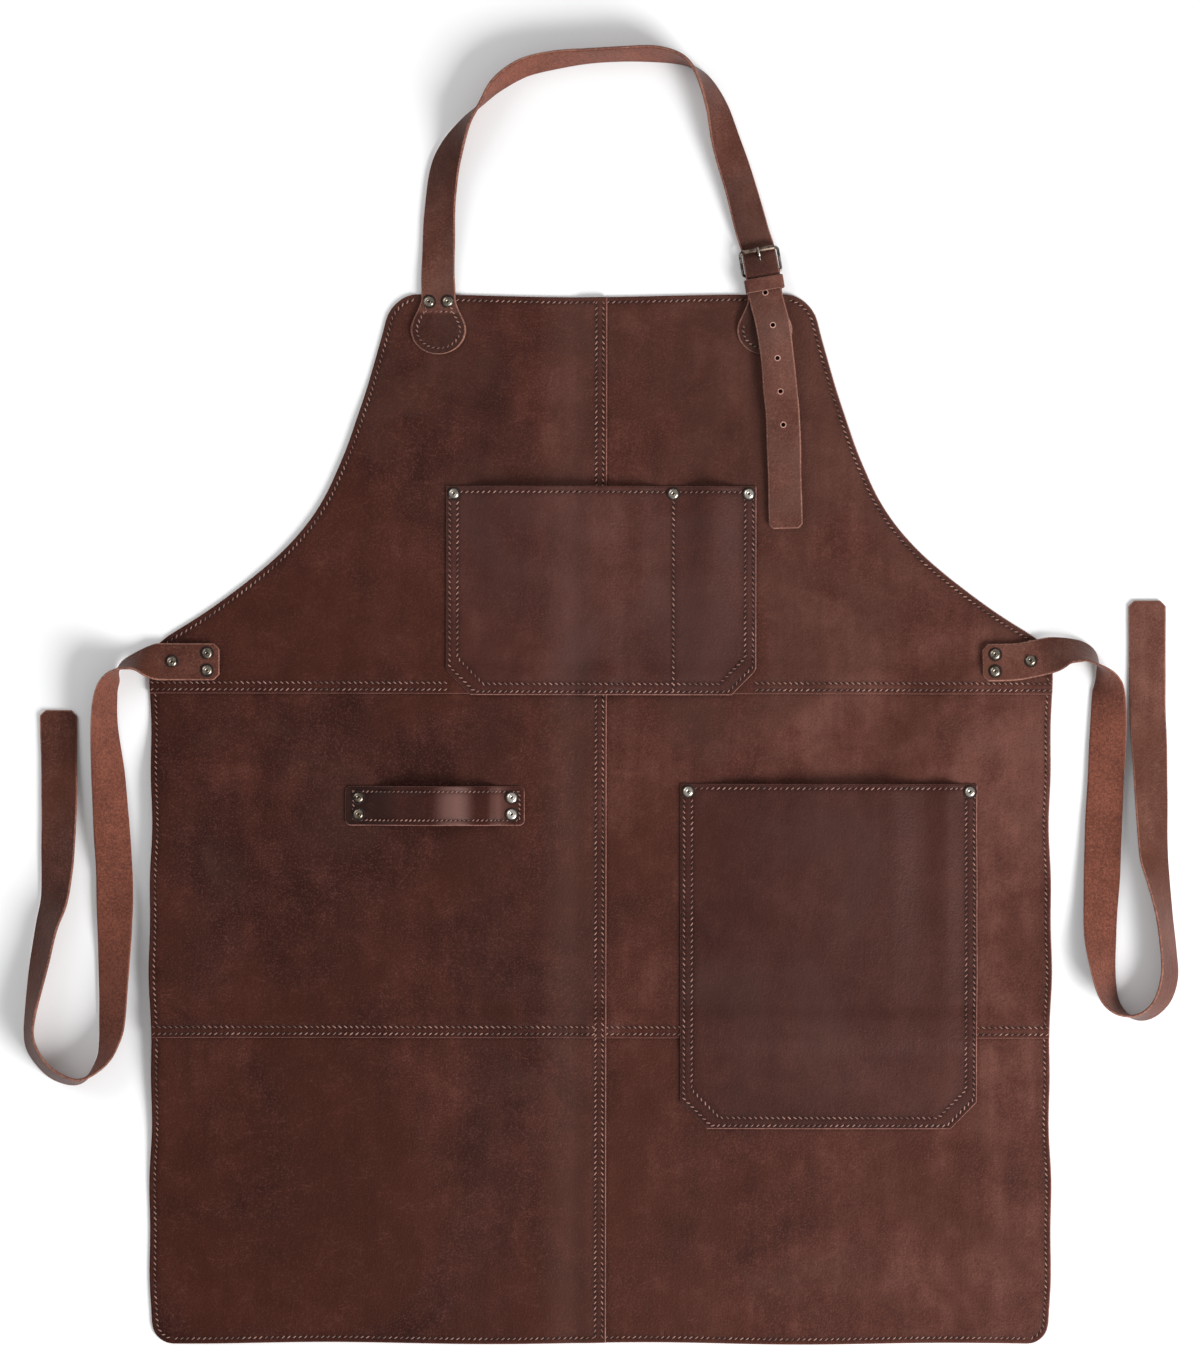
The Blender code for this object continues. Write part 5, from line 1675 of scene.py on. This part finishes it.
waist_tie("waist_tie_left", -1, LEFT_TIE_ROUTE)
waist_tie("waist_tie_right", 1, RIGHT_TIE_ROUTE)
print("ties, mm long:", {name: round(1000 * length) for name, length in TIE_LENGTHS.items()})


# %% [markdown]
# ## Keeper
# The keeper is a short band round the strap that holds the tail down. It is a strip that closes on
# itself: its route is the outline of a box with round corners, stood upright across the strap.
# %% Keeper
KEEPER_LENGTH = 0.0096
KEEPER_WALL = 0.0016
KEEPER_SPACE = 0.0008
KEEPER_FROM_HEEL = 0.0031
KEEPER_CORNER = 0.0020


def rounded_box(half, low, high, radius, first, step):
    """Places and angles round a box with round corners, against the clock from an angle."""
    found = []
    for quarter in range(first, first + 360, 90):
        middle = math.radians(quarter + 45)
        x = half - radius if math.cos(middle) > 0 else radius - half
        y = high - radius if math.sin(middle) > 0 else low + radius
        for degrees in range(quarter, quarter + 91, step):
            angle = math.radians(degrees)
            found.append((x + radius * math.cos(angle), y + radius * math.sin(angle), angle))
    return found


half = STRAP_WIDTH / 2 + KEEPER_SPACE + KEEPER_WALL / 2
top = STRAP_OVER_FOLD + STRAP_WALL + 2 * GAP + KEEPER_WALL / 2
middle_y = -KEEPER_FROM_HEEL - KEEPER_LENGTH / 2
down_the_strap = TURN @ Vector((0, -1, 0))
stations = []
for x, z, angle in rounded_box(half, KEEPER_WALL / 2, top, KEEPER_CORNER, -90, 15):
    out = TURN @ Vector((math.cos(angle), 0.0, math.sin(angle)))
    stations.append((from_buckle(x, middle_y, z), down_the_strap, KEEPER_LENGTH / 2, out))
keeper = ribbon("keeper_loop", stations, KEEPER_WALL, closed=True)
keep(keeper, "strap_leather", "keeper_loop")


# %% [markdown]
# ## Wires and turned parts
# Two ways to make metal parts are enough here. `tube` gives a line of places a round section, with
# a curve that is turned into a mesh. `lathe` turns a profile of radius and height round an axis.
# %% Wires and turned parts
METAL_SHARP = math.radians(50)


def metal_object(name, mesh, finish):
    mesh.materials.append(finish)
    mesh.shade_smooth()
    mesh.set_sharp_from_angle(angle=METAL_SHARP)
    return add_object(name, mesh)


def merge_doubles(mesh):
    """The caps of a curve come loose from its wall: joins them, and turns all faces outward."""
    work = bmesh.new()
    work.from_mesh(mesh)
    bmesh.ops.remove_doubles(work, verts=work.verts, dist=1e-6)
    bmesh.ops.recalc_face_normals(work, faces=work.faces)
    work.to_mesh(mesh)
    work.free()


def tube(name, points, radius, cyclic, finish, radii=None):
    curve = bpy.data.curves.new(name, "CURVE")
    curve.dimensions = "3D"
    curve.bevel_depth = radius
    curve.bevel_resolution = 5
    curve.use_fill_caps = not cyclic
    spline = curve.splines.new("POLY")
    spline.points.add(len(points) - 1)
    for k, (point, place) in enumerate(zip(spline.points, points)):
        point.co = (*place, 1.0)
        point.radius = 1.0 if radii is None else radii[k]
    spline.use_cyclic_u = cyclic
    wire = add_object(name + "_line", curve)
    graph = bpy.context.evaluated_depsgraph_get()
    mesh = bpy.data.meshes.new_from_object(wire.evaluated_get(graph))
    bpy.data.objects.remove(wire, do_unlink=True)
    merge_doubles(mesh)
    mesh.name = name
    mesh.materials.clear()
    return metal_object(name, mesh, finish)


def lathe(name, profile, sides, finish, place=Matrix()):
    points, faces, rings_made = [], [], []
    for radius, height in profile:
        around = circle(sides) if radius > 1e-6 else [(0.0, 0.0)]
        rings_made.append(range(len(points), len(points) + len(around)))
        points += [(radius * c, radius * s, height) for c, s in around]
    for first, second in zip(rings_made, rings_made[1:]):
        for k in range(sides):
            a, b = first[k % len(first)], first[(k + 1) % len(first)]
            c, d = second[(k + 1) % len(second)], second[k % len(second)]
            faces.append(tuple(dict.fromkeys((a, d, c, b))))
    mesh = bpy.data.meshes.new(name)
    mesh.from_pydata([tuple(place @ Vector(p)) for p in points], [], faces)
    return metal_object(name, mesh, finish)


print("a bar of 12 sides has corners:", len(circle(12)))


# %% [markdown]
# ## Buckle frame and roller
# A roller buckle is a wire bent to a rounded rectangle and welded, with a sheet tube on its far
# bar, so that the strap can be pulled tight without chafing. The frame slopes up from the heel bar
# in its fold to the roller over the strap.
# %% Frame and roller
CORNER = 1.2 * BUCKLE_WIRE
ROLLER_EDGE, ROLLER_BEVEL = 0.0001, 0.0002

slope = (ROLLER_Z - BAR_Z) / BUCKLE_LENGTH
half = BUCKLE_INNER_WIDTH / 2 + WIRE_RADIUS
outline = rounded_box(half, 0.0, BUCKLE_LENGTH, CORNER, 0, 10)
outline = [from_buckle(x, y, BAR_Z + slope * y) for x, y, _ in outline]
keep(tube("buckle_frame", outline, WIRE_RADIUS, True, STEEL), "buckle_steel", "buckle_frame")

roller_half = BUCKLE_INNER_WIDTH / 2 - CORNER / 2
bore_radius = WIRE_RADIUS + GAP
half_profile = (
    (bore_radius, roller_half),
    (ROLLER_RADIUS - ROLLER_EDGE, roller_half),
    (ROLLER_RADIUS, roller_half - ROLLER_BEVEL),
)
profile = [(bore_radius, -roller_half), *half_profile]
profile += [(radius, -height) for radius, height in reversed(half_profile)]
upright = Matrix.Translation(from_buckle(0.0, BUCKLE_LENGTH, ROLLER_Z))
roller_place = upright @ TURN @ Matrix.Rotation(math.pi / 2, 4, "Y")
roller = lathe("buckle_roller", profile, 32, RUST, roller_place)
keep(roller, "buckle_steel", "buckle_roller")


# %% [markdown]
# ## Prong
# The prong is hooked round the heel bar, comes up through the strap and rests on the roller. Its
# tip is drawn out a little thinner. It is a wire through places on the hook and on the slope.
# %% Prong
PRONG_REACH = 0.0198
PRONG_FLAT = 0.22
TIP_SHARE, TIP_STEPS = 0.72, 6

hook = WIRE_RADIUS + GAP + PRONG_WIRE / 2
tip_z = ROLLER_Z + ROLLER_RADIUS + GAP + PRONG_WIRE / 2
angles = [math.radians(degrees) for degrees in range(30, -181, -15)]
prong = [(0.0, hook * math.sin(angle), BAR_Z + hook * math.cos(angle)) for angle in angles]
prong += [
    (0.0, PRONG_FLAT * BUCKLE_LENGTH, BAR_Z - hook + 0.0003),
    tuple(prong_low),
    tuple(prong_high),
    (0.0, BUCKLE_LENGTH - 0.001, tip_z),
    (0.0, PRONG_REACH, tip_z - 0.0004),
]
prong_line = through([from_buckle(*place) for place in prong], steps=4)
from_tip = range(len(prong_line) - 1, -1, -1)
radii = [min(1.0, TIP_SHARE + (1 - TIP_SHARE) * k / TIP_STEPS) for k in from_tip]
prong = tube("buckle_prong", prong_line, PRONG_WIRE / 2, False, PRONG_STEEL, radii)
keep(prong, "buckle_steel", "buckle_prong")


# %% [markdown]
# ## Where the rivets sit
# Nineteen rivets hold what thread alone wouldn't: the ends of the straps, the mouths of the
# pockets, the tool loop and the ties. Each cap sits on the top of the leather at its place.
# %% Places of the rivets
RIVET_INSET = 0.0054
PAD_RIVET_GAP = 0.0140
TIE_RIVET_GAP = 0.0128
TIE_RIVET_INSET = 0.009
TIE_RIVET_ROW = 0.0265
LOOP_RIVET_INSET = 0.0095
LOOP_RIVET_GAP = 0.0126


def rivet_places():
    tie_top = LAYER + LEATHER + GAP + TIE_WALL
    pad_y = BIB_HEIGHT - PAD_RIVET_DEPTH
    places = []
    for step in (-0.5, 0.5):
        places.append((-PAD_SPREAD + step * PAD_RIVET_GAP, pad_y, BIB_TOP + STRAP_WALL))
        places.append((PAD_SPREAD + step * PAD_RIVET_GAP, pad_y, DOUBLE_TOP))
    flat = []
    edge = BIB_POCKET["width"] / 2 - RIVET_INSET
    y = BIB_POCKET["bottom"] + BIB_POCKET["height"] - RIVET_INSET
    flat += [(x, y, bib_pocket) for x in (-edge, DIVIDER_X, edge)]
    edge = HIP_POCKET["width"] / 2 - RIVET_INSET
    y = HIP_POCKET["bottom"] + HIP_POCKET["height"] - RIVET_INSET
    flat += [(HIP_POCKET["x"] + a, y, hip_pocket) for a in (-edge, edge)]
    edge = LOOP_WIDTH / 2 - LOOP_RIVET_INSET
    y = LOOP_TOP - LOOP_HEIGHT / 2
    flat += [
        (LOOP_X + a, y + b * LOOP_RIVET_GAP, tool_loop) for a in (-edge, edge) for b in (-0.5, 0.5)
    ]
    places += [(x, y, float(height(x, y)) + LEATHER) for x, y, height in flat]
    for side, table in ((-1, LEFT_TIE_ROUTE), (1, RIGHT_TIE_ROUTE)):
        end = HALF_BODY + TIE_REACH * table[0][0] + TIE_RIVET_INSET
        places.append((side * end, TIE_HEIGHT + TIE_RIVET_GAP / 2, tie_top))
        places.append((side * end, TIE_HEIGHT - TIE_RIVET_GAP / 2, tie_top))
        outer_y = TIE_HEIGHT + TIE_DROP * table[2][1]
        places.append((side * (end + TIE_RIVET_ROW), outer_y, tie_top))
    return places


RIVETS = rivet_places()
print("rivets:", len(RIVETS))


# %% [markdown]
# ## Geometry Nodes in short
# What repeats is put in place by Geometry Nodes: one rivet at nineteen places, one stitch at over
# two thousand. `Tree` opens a node group with named inputs. `stamp` puts a shape on points, makes
# real points and faces of it, and gives it its finish. The result is baked into a plain mesh.
# %% Helpers for Geometry Nodes
class Tree(Net):
    prefix = ""

    def __init__(self, name, inputs):
        self.made = bpy.data.node_groups.new(name, "GeometryNodeTree")
        self.nodes, self.links = self.made.nodes, self.made.links
        face = self.made.interface
        face.new_socket("Geometry", in_out="INPUT", socket_type="NodeSocketGeometry")
        self.keys = {
            word: face.new_socket(word, in_out="INPUT", socket_type="NodeSocket" + kind).identifier
            for word, kind in inputs.items()
        }
        face.new_socket("Geometry", in_out="OUTPUT", socket_type="NodeSocketGeometry")
        self.given = self.nodes.new("NodeGroupInput").outputs
        self.join = self.nodes.new("GeometryNodeJoinGeometry")
        result = {"Geometry": self.join.outputs["Geometry"]}
        self.put(self.nodes.new("NodeGroupOutput"), result)

    def chance(self, low, high):
        inputs = {"Min": low, "Max": high, "Seed": self.given["Seed"]}
        return self.add("FunctionNodeRandomValue", inputs, "Value", data_type="FLOAT_VECTOR")

    def stamp(self, points, shape, finish, placing):
        inputs = {"Points": points, "Instance": shape} | placing
        stamped = self.add("GeometryNodeInstanceOnPoints", inputs, "Instances")
        real = self.add("GeometryNodeRealizeInstances", {"Geometry": stamped}, "Geometry")
        inputs = {"Geometry": real, "Material": finish}
        self.put(self.join, {"Geometry": self.add("GeometryNodeSetMaterial", inputs, "Geometry")})

    def grow(self, name, points, edges, attribute, amounts, values):
        """Runs the tree on points that carry an attribute, and bakes what it makes."""
        mesh = bpy.data.meshes.new(name)
        mesh.from_pydata([tuple(p) for p in points], edges, [])
        mesh.attributes.new(attribute, "FLOAT", "POINT").data.foreach_set("value", amounts)
        made = add_object(name, mesh)
        modifier = made.modifiers.new("Repeat", "NODES")
        modifier.node_group = self.made
        for word, value in values.items():
            modifier[self.keys[word]] = value
        bake(made)
        made.data.shade_smooth()
        return made


print("tree words:", [word for word in vars(Tree) if not word.startswith("_")])


# %% [markdown]
# ## One rivet
# Every rivet has the same domed cap. In its middle the setter has struck a shallow dish, dark with
# tarnish, and round it lies a thin dark disc of painted shadow on the leather. Each of those three
# parts is turned once on the lathe.
# %% Parts of a rivet
RIVET_CAP = 0.0084
RIVET_RISE = 0.0019
# Radius and height as shares of the cap's own, and for the painted shadow its height in metres.
CAP_PROFILE = (
    (0.0, 0.3), (0.24, 0.3), (0.24, 0.84), (0.30, 0.94), (0.42, 1.0), (0.60, 0.97),
    (0.80, 0.74), (0.94, 0.38), (1.0, 0.10), (0.97, 0.0), (0.0, 0.0),
)
DISH_PROFILE = ((0.0, 0.80), (0.08, 0.80), (0.16, 0.80), (0.24, 0.84), (0.24, 0.25), (0.0, 0.25))
PAINTED_SHADOW_PROFILE = ((0.0, 0.00016), (1.20, 0.00016), (1.26, 0.00008), (1.26, 0.0), (0.0, 0.0))
PATTERNS = {}


def turned(name, profile, rise, sides, finish):
    scaled = [(radius * RIVET_CAP / 2, height * rise) for radius, height in profile]
    return lathe(name, scaled, sides, finish)


for word, profile, rise, sides, finish in (
    ("Cap", CAP_PROFILE, RIVET_RISE, 32, BRASS),
    ("Middle", DISH_PROFILE, RIVET_RISE, 32, TARNISH),
    ("Dent", PAINTED_SHADOW_PROFILE, 1.0, 24, PAINTED_SHADE_LEATHER),
):
    PATTERNS[word] = (turned(f"rivet_{word.lower()}", profile, rise, sides, finish), finish)
print("parts of a rivet:", list(PATTERNS))


# %% [markdown]
# ## Rivets
# The tree puts the three parts at each place, tilted and turned a little by chance. Each rivet gets
# a painted highlight, stronger on the right-hand rivets of the loop and the bib pocket: a number at
# each place says how strong. One piece stands in for all nineteen CAD rivets.
# %% Rivets
TILT = 0.07
FULL_TURN = 6.28


# How strong the painted highlight on the rivet at a place is.
def painted_highlight_at(x, y):
    if y < LOOP_TOP and abs(x - LOOP_X) < LOOP_WIDTH:
        return 0.85 if x > LOOP_X else 0.0
    if 0 < y < BIB_HEIGHT / 2 + 0.02 and abs(x) < HALF_BODY / 2:
        return 0.75 if x > 0.08 else 0.30
    return 0.50 if y < 0 else 0.08


inputs, values = {"Seed": "Int"}, {"Seed": 7}
for word, (pattern, finish) in PATTERNS.items():
    inputs |= {f"{word} Object": "Object", f"{word} Material": "Material"}
    values |= {f"{word} Object": pattern, f"{word} Material": finish}
tree = Tree("rivets_in_place", inputs)
turning = tree.chance((-TILT, -TILT, 0.0), (TILT, TILT, FULL_TURN))
for word in PATTERNS:
    source = {"Object": tree.given[f"{word} Object"]}
    shape = tree.add("GeometryNodeObjectInfo", source, "Geometry")
    finish = tree.given[f"{word} Material"]
    tree.stamp(tree.given["Geometry"], shape, finish, {"Rotation": turning})
points = [(x, y, z + GAP / 2) for x, y, z in RIVETS]
bright = [float(painted_highlight_at(x, y)) for x, y, _ in RIVETS]
rivets = tree.grow("rivet_caps", points, [], "bright", bright, values)
for pattern, _ in PATTERNS.values():
    bpy.data.objects.remove(pattern, do_unlink=True)
rivet_nodes = [name for name in frame["nodes"] if name.startswith("rivet_")]
keep(rivets, "rivet_brass", *rivet_nodes)


# %% [markdown]
# ## A tree that sews
# A stitch is an oval of thread that slants across its row, and halfway to the next one a dark disc
# of painted shade stands for the needle's hole. The tree makes a curve of each row, sets places on
# it one pitch apart, lines a shape up with the curve, leans it, and lets chance vary its turn and
# its size a little.
# %% The sewing tree
SWAY = (0.05, 0.08, 0.10)
# Lean, smallest and largest size, length and forward shift in pitches, width and height in metres.
THREAD_SHAPE = dict(lean=0.62, sizes=(0.88, 1.10), long=0.41, on=0.0, wide=0.00052, high=0.00038)
HOLE_SHAPE = dict(lean=0.0, sizes=(0.8, 1.2), long=0.19, on=0.5, wide=0.00070, high=0.00016)
THREAD_RISE, HOLE_RISE = 0.00012, 0.00004


def in_pitches(tree, share, y, z):
    """A vector whose X is a share of the pitch."""
    x = tree.add("ShaderNodeMath", {0: tree.given["Pitch"], 1: share}, operation="MULTIPLY")
    return tree.add("ShaderNodeCombineXYZ", {"X": x, "Y": y, "Z": z}, "Vector")


def sewing_tree():
    inputs = {"Pitch": "Float", "Seed": "Int", "Thread": "Material", "Hole": "Material"}
    tree = Tree("stitches_along_rows", inputs)
    curve = tree.add("GeometryNodeMeshToCurve", {"Mesh": tree.given["Geometry"]}, "Curve")
    spacing = {"Curve": curve, "Length": tree.given["Pitch"]}
    spaced = tree.add("GeometryNodeResampleCurve", spacing, "Curve", mode="LENGTH")
    tangent = {"Vector": tree.add("GeometryNodeInputTangent", {}, "Tangent")}
    align = "FunctionNodeAlignRotationToVector"
    aligned = tree.add(align, tangent, "Rotation", axis="X", pivot_axis="Z")
    named = "GeometryNodeInputNamedAttribute"
    slant = tree.add(named, {"Name": "slant"}, "Attribute", data_type="FLOAT")
    ball = {"Segments": 8, "Rings": 5, "Radius": 1.0}
    disc = {"Vertices": 8, "Radius": 1.0, "Depth": 1.0}
    for word, node, size, shape, rise in (
        ("Thread", "GeometryNodeMeshUVSphere", ball, THREAD_SHAPE, THREAD_RISE),
        ("Hole", "GeometryNodeMeshCylinder", disc, HOLE_SHAPE, HOLE_RISE),
    ):
        sway = tree.chance(tuple(-value for value in SWAY), SWAY)
        lean = tree.add("ShaderNodeMath", {0: slant, 1: shape["lean"]}, operation="MULTIPLY")
        upright = tree.add("ShaderNodeCombineXYZ", {"Z": lean}, "Vector")
        total = tree.add("ShaderNodeVectorMath", {0: sway, 1: upright}, "Vector")
        turning = {"Rotation": aligned, "Rotate By": total}
        rotate = "FunctionNodeRotateRotation"
        turned_by = tree.add(rotate, turning, "Rotation", rotation_space="LOCAL")
        low, high = shape["sizes"]
        inputs = {2: low, 3: high, "Seed": tree.given["Seed"]}
        scale = tree.add("FunctionNodeRandomValue", inputs, 1)
        inputs = {"Geometry": tree.add(node, size, "Mesh")}
        inputs["Scale"] = in_pitches(tree, shape["long"], shape["wide"], shape["high"])
        inputs["Translation"] = in_pitches(tree, shape["on"], 0.0, rise)
        sized = tree.add("GeometryNodeTransform", inputs, "Geometry")
        placing = {"Rotation": turned_by, "Scale": scale}
        tree.stamp(spaced, sized, tree.given[word], placing)
    return tree


SEWING = sewing_tree()
print("nodes in the sewing tree:", len(SEWING.made.nodes))


# %% [markdown]
# ## Sew the body, the pockets and the loop
# All rows of one kind are sewn at once, into one piece. The rows sink nearly as deep as the thread
# pulls the leather. The pitch is a little shorter on the loop, which had to be sewn by hand.
# %% Sewing
STITCH_PITCH = 0.0042
LOOP_PITCH = 0.0034
SUNK = 0.9


def sewing(name, rows, slot, pitch=STITCH_PITCH):
    points, edges, slants = [], [], []
    for line, height, slant in rows:
        first = len(points)
        z = height(line[:, 0], line[:, 1])
        points += list(zip(*dipped(line[:, 0], line[:, 1]), z))
        edges += [(k, k + 1) for k in range(first, len(points) - 1)]
        slants += [float(slant)] * len(line)
    values = {"Pitch": pitch, "Seed": 3, "Thread": THREAD, "Hole": PAINTED_SHADE_LEATHER}
    keep(SEWING.grow(name, points, edges, "slant", slants, values), slot)


def sunk(height):
    return lambda x, y: height(x, y) - SUNK * PULL


def rows_of(wanted):
    return [(line, sunk(height), slant) for kind, line, height, slant in ROWS if kind == wanted]


sewing("stitches_body", rows_of("body"), "body_leather")
sewing("stitches_pockets", rows_of("pocket"), "pocket_leather")
sewing("stitches_loop", rows_of("loop"), "pocket_leather", LOOP_PITCH)


# %% [markdown]
# ## Sew the straps' round ends
# Each round end gets a row that follows its curve, a few millimetres in, and a short one across it
# below the rivets.
# %% Sewing on the straps
PAD_PITCH = 0.0036
PAD_ROW = 0.0042
PAD_ROW_PLACES = 120
BELOW_RIVETS = 0.003
CROSS_BELOW, CROSS_HALF = 0.0072, 0.0095


def pad_rows(middle_x, top_z):
    foot = BIB_HEIGHT - PAD_DEPTH
    places = np.linspace(0.0, PAD_DEPTH - PAD_RIVET_DEPTH - BELOW_RIVETS, PAD_ROW_PLACES)
    side = [(pad_half_width(s), foot + s) for s in places]
    edge = np.array([(-x, y) for x, y in reversed(side)] + side)
    step = np.gradient(edge, axis=0)
    normal = np.stack([-step[:, 1], step[:, 0]], 1)
    normal /= np.maximum(np.linalg.norm(normal, axis=1, keepdims=True), 1e-9)
    inner = edge + PAD_ROW * normal
    inner[:, 0] += middle_x
    y = BIB_HEIGHT - PAD_RIVET_DEPTH - CROSS_BELOW
    cross = straight((middle_x - CROSS_HALF, y), (middle_x + CROSS_HALF, y))
    return [(row_line, lambda x, y: 0 * x + top_z, 1) for row_line in (inner, cross)]


pad_lines = pad_rows(-PAD_SPREAD, BIB_TOP + STRAP_WALL)
pad_lines += pad_rows(PAD_SPREAD, BIB_TOP + BUCKLE_STRAP_WALL)
sewing("stitches_pads", pad_lines, "strap_leather", PAD_PITCH)


# The panels and pockets lie flat but for low waves, so their flat size is what is seen of them
# from above. A strap's is its widest width, its length along the route, and its width added up.
# %% Flat sizes
def seen_from_above(piece):
    mesh = piece.data
    area = sum(face.area * face.normal.z for face in mesh.polygons if face.normal.z > 0.3)
    places = np.array([tuple(v.co) for v in mesh.vertices])
    width, length = (float(x) for x in np.ptp(places[:, :2], axis=0))
    return (width, length), min(float(area), width * length)


def cut_area(length, half_width_at, places=2000):
    """The area of a strip as it was cut: its width, added up along its length."""
    halves = [half_width_at(length * k / places) for k in range(places + 1)]
    return 2 * length * sum(halves) / len(halves)


def declare(name, flat, area, held, rests_on):
    print(name, [round(1000 * size) for size in flat], "mm,", round(1e4 * area), "square cm")


print("a strip of 20 by 700 mm:", round(1e4 * cut_area(0.7, lambda s: 0.01)), "square cm")


# %% [markdown] ## What lies on what Each sheet's flat size and area are printed; the table lists what it rests on.
for name, rests_on in {
    "low_right": ["floor"],
    "low_left": ["floor", "low_right"],
    "mid_right": ["floor", "low_right"],
    "mid_left": ["floor", "mid_right", "low_left"],
    "bib_right": ["floor", "mid_right"],
    "bib_left": ["floor", "bib_right", "mid_left"],
    "bib_pocket": ["bib_left", "bib_right"],
    "hip_pocket": ["mid_right", "low_right"],
    "tool_loop": ["mid_left"],
}.items():
    declare(name, *seen_from_above(bpy.data.objects[f"{name}_finished"]), "laid", rests_on)

pad_width = 2 * PAD_HALF_WIDTH
area = cut_area(STRAP_LENGTH, neck_half_width)
declare("neck_strap", (pad_width, STRAP_LENGTH), area, "laid", ["bib_left", "buckle_strap"])
area = cut_area(BUCKLE_STRAP_LENGTH, pad_half_width)
declare("buckle_strap", (pad_width, BUCKLE_STRAP_LENGTH), area, "folded", ["bib_right"])
for side in ("left", "right"):
    name = f"waist_tie_{side}"
    length = TIE_LENGTHS[name]
    area = cut_area(length, lambda s: tie_half_width(name, s))
    declare(name, (TIE_WIDTH, length), area, "laid", [f"bib_{side}", "floor"])
